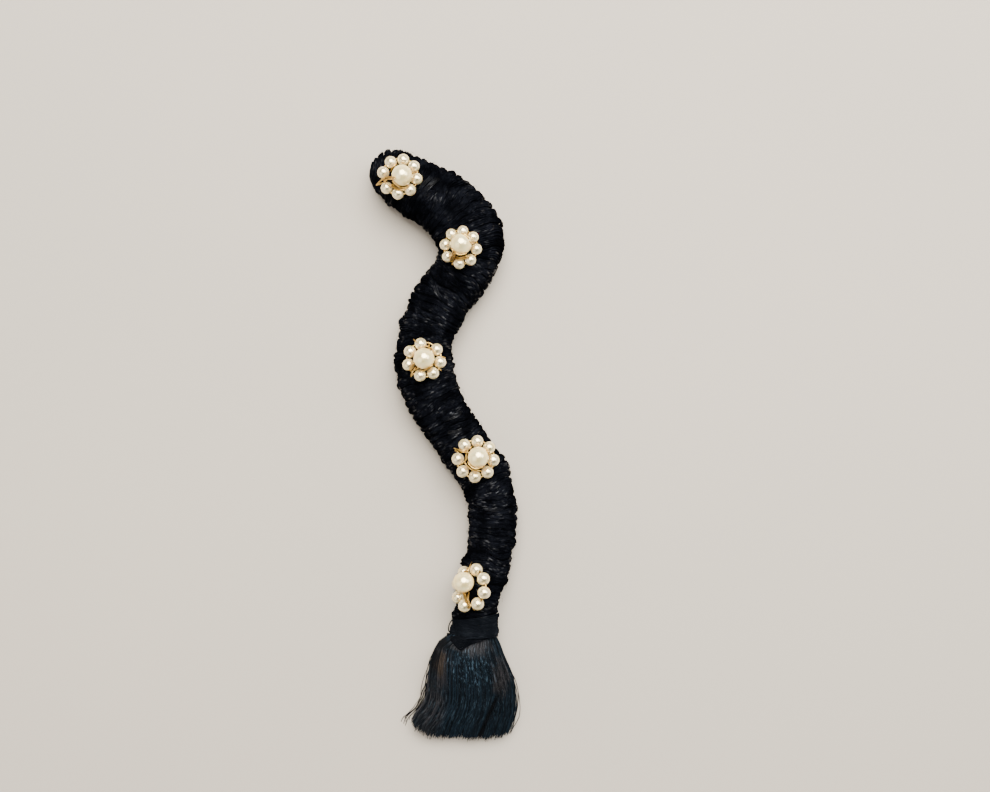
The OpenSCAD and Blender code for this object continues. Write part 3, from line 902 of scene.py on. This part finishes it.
def coreRing(section, inset, bulge=0.0):
    middle, halves, side = section
    halfWidth, topHalf, lowHalf = np.maximum(halves - inset, coreSizes["thinnest"])
    sine = np.sin(turns)
    ring = middle + np.outer(np.cos(turns) * (halfWidth + bulge), side)
    heights = middle[2] + sine * (np.where(sine > 0, topHalf, lowHalf) + bulge)
    ring[:, 2] = np.maximum(heights, coreSizes["overFloor"])
    return ring


def bodyCore():
    rings = []
    for place in range(3, len(bodySections), 2):
        bulge = np.zeros(len(turns))
        for nubShare, nubAngle, out, tall in nubs:
            off = (evenShares[place] - nubShare) * skinLength / (tall * nubReach)
            inside = 1 - off * off - (1 - np.cos(turns - nubAngle)) * nubNarrow
            bulge += np.clip(inside, 0, 1) * out
        rings.append(coreRing(bodySections[place], coreSizes["inset"], bulge))
    return loft(rings)


settle(meshPiece("windingCore", *bodyCore(), bodyThread), "wound_body")

# Strays: loose turns over the winding, and short hairs

straySizes = {
    "Strays": 60,
    "Threads each": 3,
    "Points each": 26,
    "Thread thickness": 0.30 * mm,
    "Thread sides": 5,
    "Gap between threads": 0.26 * mm,
    "Shortest": 0.7,  # radians round the body
    "Longest": 2.6,
    "Slant": 2.4 * mm,
    "Arch": 0.62 * mm,
    "Tuck": 0.42 * mm,  # how deep both ends lie
    "Rise": 0.0,  # how much higher the far end lies
    "Curl": 0.10 * mm,
    "From": 0.03,
    "To": 0.97,
    "Lowest": 0.12 * mm,
    "Skin length": skinLength,
    "Seed": 21,
}


def strayTree():
    graph, given = makeTree("strayThreads", straySizes)
    guide = guideCurve(graph, given)
    each = given["Points each"]
    cloud = graph.add("GeometryNodePoints", {}, {"Count": given["Strays"] * given["Threads each"] * each})
    index = graph.add("GeometryNodeInputIndex")
    thread = graph.maths("FLOOR", (index + 0.5) / each)
    stray = graph.maths("FLOOR", (thread + 0.5) / given["Threads each"])
    step = graph.maths("MINIMUM", (index - thread * each) / (each - 1), 1.0)
    number = thread - stray * given["Threads each"]
    seed = given["Seed"]
    start = graph.chance(given["From"], given["To"], stray, seed)
    middle = graph.chance(-0.35, math.pi + 0.35, stray, seed + 1)
    span = graph.chance(given["Shortest"], given["Longest"], stray, seed + 2)
    slant = graph.chance(-1.0, 1.0, stray, seed + 3) * given["Slant"]
    wave = graph.noise(graph.join(step * 2.0, thread * 3.7, seed), 1.0, 1.0) - 0.5
    angle = middle + (step - 0.5) * (span * graph.chance(0.75, 1.1, thread, seed + 4))
    slide = (step - 0.5) * slant + number * given["Gap between threads"] + wave * 4.0 * given["Curl"]
    hump = graph.maths("POWER", graph.most(graph.maths("SINE", step * math.pi), 0.0), 0.5)
    arch = given["Arch"] * graph.chance(0.65, 1.0, thread, seed + 5)
    lift = hump * arch - given["Tuck"] + step * given["Rise"]
    share = start + slide / given["Skin length"]
    cloud = graph.move(cloud, onSkin(graph, guide, share, angle, lift, given["Lowest"]))
    cloud = graph.keep(cloud, "side", guideValue(graph, guide, "side", share))
    curve = graph.add("GeometryNodePointsToCurves", {}, {
        "Points": cloud, "Curve Group ID": thread, "Weight": index})
    return endTree(graph, given, threadMesh(graph, given, curve))


print("strays and hairs")
hairSizes = {
    **straySizes, "Strays": 480, "Threads each": 1, "Points each": 5, "Thread thickness": 0.035 * mm,
    "Thread sides": 3, "Shortest": 0.02, "Longest": 0.35, "Slant": 1.4 * mm, "Arch": 0.25 * mm,
    "Tuck": 0.0, "Rise": 0.5 * mm, "Curl": 0.35 * mm, "Seed": 77}
looseTree = strayTree()
for name, sizes, finish in (("looseWraps", straySizes, bodyThread), ("looseHairs", hairSizes, hairThread)):
    settle(runTree(name, looseTree, bodyGuide, sizes, finish), "wound_body")


def threadPiece(name, paths, thickness, material):
    # Threads along paths, with the strand attribute that their finish reads
    radius, sides = thickness / 2, 6
    parts, rows = [], []
    for path in paths:
        parts.append(tube(path, radius, sides))
        runs = runsAlong(path)
        alongs = np.r_[0, runs, runs[-1]] + luck.uniform(0, 60) * mm
        turned = np.tile(np.linspace(0, 2 * math.pi, sides, endpoint=False), len(alongs))
        rows.append(np.column_stack([
            np.repeat(alongs, sides), radius * np.cos(turned), radius * np.sin(turned)]))
        rows.append([[alongs[0], 0, 0], [alongs[-1], 0, 0]])
    points, faces = merge(parts)
    return meshPiece(name, points, faces, material, strand=np.vstack(rows))


def skinPoint(run, angle, lift):
    middle, halves, side = bodySection(run)
    across = math.cos(angle) * (halves[0] + lift)
    rise = math.sin(angle) * (halves[1 if math.sin(angle) > 0 else 2] + lift)
    return middle + side * across + np.array([0, 0, rise])


crossingSizes = {
    "rows": [
        # run and degrees round the body where a bundle starts and ends, its threads, its bow in mm
        (14.4, 103, 15.8, 53, 4, 0.0), (13.2, 105, 14.5, 55, 3, 0.0), (77.6, 91, 78.4, 48, 4, 0.2),
        (80.6, 100, 81.9, 67, 4, 0.5), (45.0, 118, 47.2, 84, 3, 0.3), (101.5, 112, 102.6, 66, 3, 0.2),
    ],
    "thread": 0.30 * mm,
    "step": 0.27 * mm,  # from one thread to the next, along the body
    "turn": 1.5,  # and in degrees round it
    "lift": 0.20 * mm,  # over the skin
    "tuck": 0.55 * mm,  # how deep both ends lie
    "points": 15,
}


def crossingPaths(sizes):
    for runA, angleA, runB, angleB, threads, bow in sizes["rows"]:
        for k in range(threads):
            path = []
            for t in np.linspace(0, 1, sizes["points"]):
                run = (runA + (runB - runA) * t + bow * math.sin(math.pi * t)) * mm + k * sizes["step"]
                angle = math.radians(angleA + (angleB - angleA) * t + sizes["turn"] * k)
                path.append(skinPoint(run, angle, sizes["lift"] - sizes["tuck"] * abs(2 * t - 1)**5))
            yield np.array(path)


crossings = crossingPaths(crossingSizes)
crossingPiece = threadPiece("crossingThreads", crossings, crossingSizes["thread"], glossyThread)
settle(crossingPiece, "wound_body")

# Neck: fine thread wound over the joint of body and tassel

neckWinding = {
    **windingSizes, "Turns": 18.0, "Points per turn": 90.0, "Thread thickness": 0.34 * mm, "Inset": 0.20 * mm,
    "Yarn height": 0.05 * mm, "Ridge height": 0.02 * mm, "Yarn pull": 0.03 * mm, "Knob height": 0.05 * mm,
    "Lump height": 0.18 * mm, "Slant": 0.34 * mm, "Thread drift": 0.10 * mm, "Thread lift": 0.06 * mm,
    "Skin length": neckSizes["length"], "Seed": 5}
neckNubs = [
    # share of the neck's length, radians round it, how far out and how tall
    (0.05, 0.0, 0.30 * mm, 1.2 * mm), (0.75, 0.1, 0.30 * mm, 1.4 * mm), (0.70, 3.1, 0.50 * mm, 3.6 * mm),
]


def neckSection(y):
    # The binding's upper turns lie aslant, the lower ones straight across
    slope = math.radians(neckSizes["slant"]) * (1 - (neckSizes["top"] - y) / neckSizes["length"])
    halves = np.array([neckSizes["width"] / 2, neckZ, neckZ])
    return np.array([neckX, y, neckZ]), halves, np.array([math.cos(slope), math.sin(slope), 0])


print("neck")
neckGuide = guideMesh("neckGuide", [neckSection(y) for y in np.linspace(neckSizes["top"], neckFoot, 12)])
binding = runTree("neckWinding", windingTree("neckBindingTree", neckNubs), neckGuide, neckWinding, neckThread)
settle(binding, "neck_binding")
neckEnds = (neckSizes["top"] - coreSizes["neckEnd"], neckFoot + coreSizes["neckEnd"])
neckRings = [coreRing(neckSection(y), coreSizes["neckInset"]) for y in neckEnds]
settle(meshPiece("neckCore", *loft(neckRings), neckThread), "neck_binding")

# Tassel: locks of silk that fan out from the neck

tasselSizes = {
    "length": 24.2 * mm,
    "width": 24.6 * mm,
    "height": 8.0 * mm,
    "middle": 0.5,  # shares of its height: where its middle lies, and how far it reaches up and down
    "half": 0.46,
    "square": (0.85, 0.75),  # across and up, 1 makes its section round
    "locks": (48, 32),  # round the outside, and inside
    "reaches": (0.95, 0.62),
    "hidden": 0.12,  # share of its length that the locks start inside the neck
    "guidePoints": 11,
    "uneven": (0.2, 0.93, 0.985),  # how far off a lock may start, and least shares of its reach and length
    "sway": 0.25 * mm,
    "coreFrom": -0.1,  # shares of its length where the dark core starts and ends
    "coreTo": 0.86,
    "coreReach": (0.72, 0.25),  # at the neck, and how much narrower it would be at the foot
    "partingTop": (12.2 * mm, -61.0 * mm),
    "partingFoot": (8.6 * mm, -69.6 * mm),
    "partingWidth": 1.3 * mm,
    "partingReach": 1.4 * mm,
    "partingRunUp": 0.8,  # share of the parting's length over which it opens, above its top
    "partingDepth": 1.5 * mm,  # silk that lies lower stays where it is
}
tasselRows = np.array([
    # along, left, right, height
    [-0.16, -0.165, 0.165, 0.88],
    [0.00, -0.245, 0.205, 0.99],
    [0.03, -0.305, 0.225, 1.01],
    [0.09, -0.395, 0.255, 1.00],
    [0.22, -0.436, 0.286, 0.97],
    [0.40, -0.463, 0.356, 0.88],
    [0.62, -0.478, 0.391, 0.74],
    [0.74, -0.540, 0.393, 0.66],
    [0.83, -0.640, 0.384, 0.57],
    [1.00, -0.68, 0.325, 0.42],
])
cutRows = np.array([
    # place across from left to right, how far the silk reaches
    [-1.0, 0.80], [-0.9, 0.86], [-0.78, 0.93], [-0.55, 0.98], [-0.2, 1.00], [0.2, 1.01], [0.55, 1.015],
    [0.85, 0.99], [1.0, 0.93],
])
silkSizes = {
    "Strands": 50,
    "Spread at the neck": 0.45 * mm,
    "Spread at the foot": 1.35 * mm,
    "Frizz": 0.30 * mm,
    "Frizz length": 3.8 * mm,
    "Strand thickness": 0.15 * mm,
    "Shortest": 0.972,
    "Seed": 9,
}


def tasselSpan(share):
    # Left side, right side and height at a share of the tassel's length
    left, right, height = (np.interp(share, tasselRows[:, 0], tasselRows[:, c]) for c in (1, 2, 3))
    return left * tasselSizes["width"], right * tasselSizes["width"], height * tasselSizes["height"]


def fanPlace(share, angle, reach):
    # A place in the tassel's section at a share of its length
    left, right, height = tasselSpan(share)
    powerAcross, powerUp = tasselSizes["square"]
    across = math.copysign(abs(math.cos(angle))**powerAcross, math.cos(angle)) * reach
    rise = math.copysign(abs(math.sin(angle))**powerUp, math.sin(angle)) * reach
    return np.array([neckX + (left + right) / 2 + across * (right - left) / 2,
                     neckFoot - share * tasselSizes["length"],
                     height * (tasselSizes["middle"] + tasselSizes["half"] * rise)])


def parted(point):
    # Pushes the upper silk off the line where two locks part
    (topX, topY), (footX, footY) = tasselSizes["partingTop"], tasselSizes["partingFoot"]
    share = (topY - point[1]) / (topY - footY)
    runUp = tasselSizes["partingRunUp"]
    if share < -runUp or point[2] < tasselSizes["partingDepth"]:
        return point
    off = point[0] - (topX + (footX - topX) * share)
    width = tasselSizes["partingWidth"] * smoothStep((share + runUp) / runUp)
    push = math.copysign(width / 2, off) * math.exp(-(off / tasselSizes["partingReach"])**2)
    return point + np.array([push, 0, 0])


def silkGuides():
    points, edges, alongs = [], [], []
    hidden, last = tasselSizes["hidden"], tasselSizes["guidePoints"] - 1
    anyTurn, leastReach, leastLength = tasselSizes["uneven"]
    sway = tasselSizes["sway"]
    for layer, (locks, reach) in enumerate(zip(tasselSizes["locks"], tasselSizes["reaches"])):
        for k in range(locks):
            angle = 2 * math.pi * (k + luck.uniform(-anyTurn, anyTurn)) / locks
            angle += 0.2 * math.sin(2 * angle)  # as close in the middle as beside it
            own = reach * luck.uniform(leastReach, 1.0)
            cut = np.interp(math.cos(angle) * own, cutRows[:, 0], cutRows[:, 1])
            longest = cut * luck.uniform(leastLength, 1.0)
            swayX, swayZ = luck.uniform(-sway, sway, 2)
            for step in range(last + 1):
                t = step / last
                share = -hidden + (longest + hidden) * t
                bend = math.sin(3.1 * t + angle * 3)
                point = fanPlace(share, angle, own) + np.array([swayX * bend, 0, swayZ * bend * 0.6]) * t
                points.append(point if layer else parted(point))
                alongs.append(max(0.0, share))
                if step:
                    edges.append((len(points) - 2, len(points) - 1))
    mesh = bpy.data.meshes.new("silkGuides")
    mesh.from_pydata([tuple(p) for p in points], edges, [])
    row = mesh.attributes.new("along", "FLOAT", "POINT")
    row.data.foreach_set("value", np.array(alongs, np.float32))
    return mesh


def silkTree():
    graph, given = makeTree("silkStrands", silkSizes)
    guides = graph.add("GeometryNodeMeshToCurve", {}, {"Mesh": given["Geometry"]})
    strands = graph.add("GeometryNodeDuplicateElements", {"domain": "SPLINE"},
                        {"Geometry": guides, "Amount": given["Strands"]})
    owner = graph.add("GeometryNodeCurveOfPoint")
    seed = given["Seed"]
    along = graph.kept("along", "FLOAT")

    def either(k):  # two chances together, so that most strands lie near their lock's middle
        return graph.chance(-1.0, 1.0, owner, seed + k) + graph.chance(-1.0, 1.0, owner, seed + 10 + k)

    aside = graph.join(either(0), either(1), either(2)) * 0.5
    neckSpread, footSpread = given["Spread at the neck"], given["Spread at the foot"]
    spread = neckSpread + (footSpread - neckSpread) * graph.ramp(along, 0.0, 0.35)
    place = graph.place()
    wave = graph.add("ShaderNodeTexNoise", {"noise_dimensions": "4D"}, {
        "Vector": place / given["Frizz length"], "W": graph.chance(0.0, 2.2, owner, seed + 30),
        "Scale": 1.0, "Detail": 1.0}).out("Color") - 0.5
    moved = place + aside * spread + wave * (given["Frizz"] * 4.0 * graph.ramp(along, 0.02, 0.8))
    x, y, z = graph.split(moved)
    strands = graph.move(strands, graph.join(x, y, graph.most(z, given["Strand thickness"] * 0.6)))
    strands = graph.keep(strands, "tint", graph.chance(0.0, 1.0, owner, seed + 40), "FLOAT")
    strands = graph.keep(strands, "along", along, "FLOAT")
    ends = graph.chance(given["Shortest"], 1.0, graph.add("GeometryNodeInputIndex"), seed + 50)
    strands = graph.add("GeometryNodeTrimCurve", {"mode": "FACTOR"}, {"Curve": strands, "End": ends})
    # strands differ in thickness and grow thinner towards the foot
    taper = 1.0 - graph.ramp(graph.kept("along", "FLOAT"), 0.8, 1.05) * 0.45
    thick = 0.75 + graph.kept("tint", "FLOAT") * 0.6
    return endTree(graph, given, graph.sweep(strands, given["Strand thickness"], 3, taper * thick))


print("tassel")
strandTree = silkTree()
guides = silkGuides()
for number in (1, 2):
    sizes = {**silkSizes, "Strands": silkSizes["Strands"] // 2, "Seed": silkSizes["Seed"] + 100 * number}
    settle(runTree(f"silk{number}", strandTree, guides, sizes, tasselSilk), "tassel")
widest, narrower = tasselSizes["coreReach"]
silkRings = [[fanPlace(share, angle, widest - narrower * max(0, share)) for angle in -turns]
             for share in np.linspace(tasselSizes["coreFrom"], tasselSizes["coreTo"], 14)]
settle(meshPiece("silkCore", *loft(silkRings), tasselSilk), "tassel")

# The binding's last turns cross the tassel's head in a point

headSizes = {
    "corners": [(0.7, -45.9), (3.75, -49.2), (6.1, -47.5), (11.2, -46.0)],  # of the lowest turn, in mm
    "stray": (0.2, 0.15),  # how far in mm each thread's corners lie from there
    "last": 0.3 * mm,  # how far over the neck's foot the highest turn lies
    "threads": 15,
    "thread": 0.34 * mm,
    "bend": 0.7 * mm,
    "points": 34,
    "lift": (0.42 * mm, 0.5 * mm),  # of the lowest turn over the silk, and how much higher the highest lies
    "tuck": 0.7 * mm,  # how deep both ends of a turn lie
}


def silkTop(x, y):
    # Height of the tassel's upper side
    left, right, height = tasselSpan((neckFoot - y) / tasselSizes["length"])
    across = min(1.0, abs(x - neckX - (left + right) / 2) / ((right - left) / 2))
    powerAcross, powerUp = tasselSizes["square"]
    rise = math.sqrt(max(0.0, 1 - across**(2 / powerAcross)))**powerUp
    return height * (tasselSizes["middle"] + tasselSizes["half"] * rise)


def pointPaths(sizes):
    paths = []
    (strayX, strayY), (lift, rise), count = sizes["stray"], sizes["lift"], sizes["points"]
    for share in np.linspace(0, 1, sizes["threads"]):
        path = []
        for x, y in sizes["corners"]:
            placeX = (x + luck.uniform(-strayX, strayX)) * mm
            placeY = (y + luck.uniform(-strayY, strayY)) * mm
            path.append((placeX, placeY + (neckFoot + sizes["last"] - y * mm) * share, 0))
        path = roundedPath(path, sizes["bend"], 7)
        runs = runsAlong(path)
        wanted = np.linspace(0, runs[-1], count)
        path = np.column_stack([np.interp(wanted, runs, column) for column in path.T])
        tucks = sizes["tuck"] * np.abs(np.linspace(-1, 1, count))**8
        path[:, 2] = [silkTop(x, y) + lift + rise * share**2 - tuck for (x, y, _), tuck in zip(path, tucks)]
        paths.append(path)
    return paths


neckPoint = threadPiece("neckPoint", pointPaths(headSizes), headSizes["thread"], shadedPointThread)
settle(neckPoint, "neck_binding")

# A thread that has come loose beside the neck

loopSizes = {
    "places": [  # in mm
        (2.0, -42.2, 4.6), (1.35, -42.9, 5.0), (0.9, -44.0, 5.2), (1.0, -45.1, 4.9), (1.9, -45.8, 4.4)],
    "thread": 0.30 * mm,
}
loopPath = smoothPath(np.array(loopSizes["places"]) * mm, 6)
neckLoop = threadPiece("neckLoop", [loopPath], loopSizes["thread"], neckThread)
settle(neckLoop, "neck_binding")

# Loose strands beside the tassel

looseSizes = {
    "rows": [
        # side, the shares of the tassel's length where a strand leaves the silk and where it ends,
        # and how far out it is halfway and at its end in mm
        (-1, 0.15, 0.90, 1.0, 1.6), (-1, 0.22, 0.88, 1.6, 1.0), (-1, 0.30, 0.86, 0.8, 0.5),
        (-1, 0.35, 0.80, 1.3, 1.6), (-1, 0.40, 0.88, 1.1, 2.1), (-1, 0.26, 0.76, 0.6, 0.9),
        (-1, 0.45, 0.85, 1.9, 1.3), (-1, 0.20, 0.92, 0.5, 1.0), (1, 0.20, 0.95, 0.9, 0.2),
        (1, 0.30, 1.00, 1.5, 0.7), (1, 0.35, 0.90, 0.6, 0.4), (1, 0.25, 0.97, 1.2, -0.3),
    ],
    "thread": 0.15 * mm,
    "tuck": 0.3,  # how deep in mm it starts inside the silk
    "wave": 0.12,
    "overFloor": 0.1 * mm,
    "points": 22,
}


def loosePath(side, start, end, halfway, out):
    path = []
    for t in np.linspace(0, 1, looseSizes["points"]):
        share = start + (end - start) * t
        left, right, height = tasselSpan(share)
        wave = looseSizes["wave"] * math.sin(11 * t + 40 * start)
        off = 4 * t * (1 - t) * halfway + t * (2 * t - 1) * out - looseSizes["tuck"] + wave
        path.append((neckX + (left if side < 0 else right) + side * off * mm,
                     neckFoot - share * tasselSizes["length"],
                     height * tasselSizes["middle"] * (1 - t) + looseSizes["overFloor"]))
    return np.array(path)


loosePaths = [loosePath(*row) for row in looseSizes["rows"]]
looseSilk = threadPiece("looseSilk", loosePaths, looseSizes["thread"], hairThread)
settle(looseSilk, "tassel")

# Flowers: pearls on gold wire

flowerSizes = {
    "pearls": (8, 8, 7, 8, 8),
    "bore": 0.68 * mm,
    "lip": 0.05 * mm,  # how far a drilling's rim is softened
    "squeeze": (0.965, 1.0),  # how long a pearl is along its drilling, least and most
    "around": 28,  # points round a pearl, and from one rim to the other
    "down": 15,
    "wire": 0.36 * mm,
    "strand": 0.34 * mm,
    "wireSides": 8,
    "bend": 0.34 * mm,
    "shortest": 0.35 * mm,  # nearer corners of the wire are made one
    "beside": 0.10 * mm,  # how far from the centre pearl the wire bends
    "overGap": 0.06 * mm,  # space between the wire and the two pearls that it crosses
    "outward": 0.15 * mm,  # how far outside their middles it does so
    "hook": 0.35 * mm,  # how far outside the ring its far end goes down
    "rootOut": 0.45 * mm,
    "rootDown": 0.30 * mm,
    "tailDown": 0.25 * mm,
    "tails": (0.9 * mm, -0.1 * mm, 0.3 * mm, 0.3 * mm, -0.3 * mm),  # how far the wire's end stands out
    "inLine": 0.04 * mm,  # how deep a laid strand sinks between the pearls
    "endLength": 0.5 * mm,  # stretch at each of its ends that is tucked in
    "endTuck": 0.3 * mm,
}


def drilling(node):
    # Middle, direction and radius of a pearl, read off the walls of its drilling
    low, high = (np.array(corner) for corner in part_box(node))
    middle, radius = (low + high) / 2, (high - low).max() / 2
    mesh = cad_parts[node].data
    walls = [f for f in mesh.polygons if np.linalg.norm(np.array(f.center) - middle) < 0.8 * radius]
    points = np.array([mesh.vertices[i].co for f in walls for i in f.vertices])
    points -= points.mean(0)
    return middle, np.linalg.svd(points, full_matrices=False)[2][0], radius


def pearlShape(middle, axis, radius, squeeze):
    # A drilled pearl: its round outside with softened rims, and the wall of the drilling
    bore, lip, count = flowerSizes["bore"] / 2, flowerSizes["lip"], flowerSizes["around"]
    rim = math.asin(bore / radius)
    edge = math.cos(rim) * radius
    angles = np.linspace(rim * 1.25, math.pi - rim * 1.25, flowerSizes["down"])
    rows = [(bore, edge - lip * 1.6), (bore + lip * 0.3, edge - lip * 0.4)]
    rows += [(math.sin(a) * radius, math.cos(a) * radius) for a in angles]
    rows += [(r, -z) for r, z in rows[1::-1]]
    side = unit(np.cross(axis, [0.3, 0.2, 0.93]))
    ring = circle(np.linspace(0, 2 * math.pi, count, endpoint=False), side, np.cross(axis, side))
    points = np.vstack([ring * r + axis * (z * squeeze) for r, z in rows])
    faces = []
    for i in range(len(rows)):
        here, below = i * count, (i + 1) % len(rows) * count
        for k in range(count):
            m = (k + 1) % count
            faces.append((here + k, below + k, below + m, here + m))
    ball = np.column_stack([points @ side, points[:, 2], points @ axis]) / radius
    return middle + points, faces, ball


def ringFrame(middles, centre):
    # Middle, radius and normal of the circle through a flower's ring
    mean = middles.mean(0)
    _, _, rows = np.linalg.svd(middles - mean)
    normal = rows[2] * (1 if rows[2] @ (centre - mean) > 0 else -1)
    flatPoints = (middles - mean) @ rows[:2].T
    system = np.column_stack([2 * flatPoints, np.ones(len(flatPoints))])
    a, b, c = np.linalg.lstsq(system, (flatPoints**2).sum(1), rcond=None)[0]
    return mean + a * rows[0] + b * rows[1], math.sqrt(c + a * a + b * b), normal


def notch(first, second, outward, normal, radius):
    # The place on top of the gap between two pearls
    wire = flowerSizes["wire"]
    reach = radius + wire * 0.5 + flowerSizes["overGap"]
    halfGap = np.linalg.norm(second - first) / 2
    rise = math.sqrt(max(0.0, reach**2 - halfGap**2)) + wire * 0.25
    return (first + second) / 2 + outward * flowerSizes["outward"] + normal * rise


def ringCorners(middles, axes, reach):
    # Corners of the wire on its way through the ring's pearls
    corners = [middles[0] - axes[0] * reach]
    for k in range(len(middles) - 1):
        near, far = middles[k] + axes[k] * reach, middles[k + 1] - axes[k + 1] * reach
        close = np.linalg.norm(far - near) < flowerSizes["shortest"]
        corners += [(near + far) / 2] if close else [near, far]
    return corners + [middles[-1] + axes[-1] * reach]


def flowerWire(number, ring, centre):
    # The wire's whole path: tail, ring, and the strand over the middle pearl
    middles = np.array([p[0] for p in ring])
    hub, radius, normal = ringFrame(middles, centre[0])
    count = len(ring)
    axes = []
    for k, (_, axis, _) in enumerate(ring):
        onward = middles[min(k + 1, count - 1)] - middles[max(0, k - 1)]
        axes.append(axis if axis @ onward > 0 else -axis)
    steps = np.linalg.norm(np.diff(middles, axis=0), axis=1)
    turn = 2 * math.asin(np.median(steps) / 2 / radius)
    corners = ringCorners(middles, axes, radius * math.tan(turn / 2))

    def outwardOf(first, second):
        gap = (first + second) / 2 - hub
        return unit(gap - normal * (gap @ normal))

    half = math.ceil(count / 2)
    opened = outwardOf(middles[0], middles[-1])
    back = outwardOf(middles[half - 1], middles[half])
    gapTop = notch(middles[0], middles[-1], opened, normal, ring[0][2])
    farTop = notch(middles[half - 1], middles[half], back, normal, ring[0][2])
    middle, axis, centreRadius = centre
    out = (axis if axis @ back > 0 else -axis) * (centreRadius + flowerSizes["beside"])
    farFoot = farTop + back * flowerSizes["hook"] - normal * ((farTop - middles[half]) @ normal)
    root = corners[0] + opened * flowerSizes["rootOut"] - normal * flowerSizes["rootDown"]
    end = root + opened * flowerSizes["tails"][number - 1] - normal * flowerSizes["tailDown"]
    path = roundedPath([end, root, *corners, gapTop, middle - out, middle + out, farTop, farFoot],
                       flowerSizes["bend"])
    laid = [laidStrand(row, [centre, *ring], hub, normal) for row in goldStrands[number]]
    return [tube(path, flowerSizes["wire"] / 2, flowerSizes["wireSides"]),
            *(tube(strand, flowerSizes["strand"] / 2, flowerSizes["wireSides"]) for strand in laid)]


goldStrands = {
    # strands laid over each flower: places in mm from its middle pearl
    1: [((-6.3, -1.6), (-5.2, -0.9), (-3.8, -0.4), (-2.2, -0.7), (-1.4, -0.7)),
        ((-4.4, -1.1), (-3.5, -0.7), (-2.1, -1.1), (-1.4, -1.1)),
        ((-2.9, 1.7), (-2.3, 2.4), (-1.4, 3.2)),
        ((-2.2, -1.4), (-1.6, -2.1), (-0.5, -2.7), (0.9, -2.6)),
        ((-2.5, -1.5), (-1.8, -2.35), (-0.7, -2.95), (0.8, -2.85)),
        ((-2.7, -1.6), (-2.0, -2.6), (-0.9, -3.2), (0.6, -3.1))],
    2: [((0.3, 2.2), (1.2, 1.8), (1.9, 0.9)),
        ((2.0, 0.4), (2.6, 0.1), (3.2, 0.6)),
        ((-1.4, -1.8), (-1.4, -2.2), (-2.1, -2.6), (-2.6, -3.3)),
        ((-2.2, -1.2), (-1.8, -1.9), (-2.4, -2.4)),
        ((-1.4, -2.1), (-0.2, -2.7), (1.2, -2.3)),
        ((-1.5, -2.3), (-0.3, -2.9), (1.3, -2.5)),
        ((-1.7, -2.7), (-0.5, -3.3), (0.9, -3.1), (2.1, -2.5))],
    3: [((0.2, 3.1), (1.0, 2.8), (1.9, 2.3)),
        ((2.1, -1.4), (1.7, -1.9), (0.5, -2.6), (-0.7, -2.9)),
        ((2.4, -1.3), (3.1, -1.9)),
        ((-2.2, -1.2), (-2.8, -2.0), (-3.3, -2.8)),
        ((-2.4, -1.1), (-3.0, -1.9), (-3.5, -2.6)),
        ((-2.1, -1.9), (-2.6, -2.7), (-3.1, -3.7)),
        ((-2.5, 4.7), (-1.8, 3.9)),
        ((3.9, 0.5), (4.8, 0.3)),
        ((3.3, -2.1), (3.8, -2.6))],
    4: [((-5.7, 2.1), (-4.9, 1.8), (-3.8, 1.5), (-2.8, 1.4)),
        ((-2.5, 1.7), (-2.8, 0.5), (-2.8, -0.4), (-3.3, -1.1), (-4.3, -1.7)),
        ((-2.4, -1.1), (-1.6, -2.2), (-0.3, -2.7), (1.4, -2.1)),
        ((-3.3, -1.0), (-2.6, -2.1), (-1.4, -3.0), (0.6, -3.2)),
        ((2.1, 1.5), (2.8, 0.4)),
        ((-2.0, 1.9), (-1.5, 2.5))],
    5: [((1.9, 4.3), (1.4, 3.4), (0.9, 2.5)),
        ((0.1, -2.6), (0.4, -3.7), (0.9, -4.8), (1.5, -5.6)),
        ((0.4, -2.6), (0.7, -3.8), (1.2, -4.8), (1.7, -5.5)),
        ((1.3, -2.6), (1.1, -3.4), (1.3, -4.5), (1.8, -5.3))],
}


def laidStrand(row, balls, hub, normal):
    # A strand pulled tight over the pearls under it, its two ends tucked in
    flat = smoothPath(np.array(row) * mm + balls[0][0][:2], 7)
    heights = hub[2] - (flat - hub[:2]) @ normal[:2] / normal[2]
    for middle, _, radius in balls:
        inside = (radius + flowerSizes["strand"] / 2)**2 - ((flat - middle[:2])**2).sum(1)
        heights = np.maximum(heights, np.where(inside > 0, middle[2] + np.sqrt(np.maximum(inside, 0)), -1))
    runs = runsAlong(flat)
    # the places that a tight strand touches: no other place lies above the line between them
    touched = [0]
    while touched[-1] < len(flat) - 1:
        here = touched[-1]
        rises = (heights[here + 1:] - heights[here]) / (runs[here + 1:] - runs[here])
        touched.append(here + 1 + int(rises.argmax()))
    tight = np.interp(runs, runs[touched], heights[touched]) - flowerSizes["inLine"]
    ends = np.minimum(runs, runs[-1] - runs) / flowerSizes["endLength"]
    tight -= np.clip(1 - ends, 0, 1)**2 * flowerSizes["endTuck"]
    return np.column_stack([flat, tight])


def dressPearl(node, pearl, finish):
    points, faces, ball = pearlShape(*pearl, luck.uniform(*flowerSizes["squeeze"]))
    settle(meshPiece(node.replace("_pearl", "_bead"), points, faces, finish, ball=ball), node)


print("flowers")
for number, count in enumerate(flowerSizes["pearls"], 1):
    name = f"flower_{number}"
    ringNodes = [f"{name}_ring_pearl_{k + 1}" for k in range(count)]
    centre = drilling(f"{name}_centre_pearl")
    ring = [drilling(node) for node in ringNodes]
    wirePiece = meshPiece(f"{name}_goldWire", *merge(flowerWire(number, ring, centre)), goldWire)
    settle(wirePiece, f"{name}_wire")
    dressPearl(f"{name}_centre_pearl", centre, largePearl)
    for node, pearl in zip(ringNodes, ring):
        dressPearl(node, pearl, smallPearl)
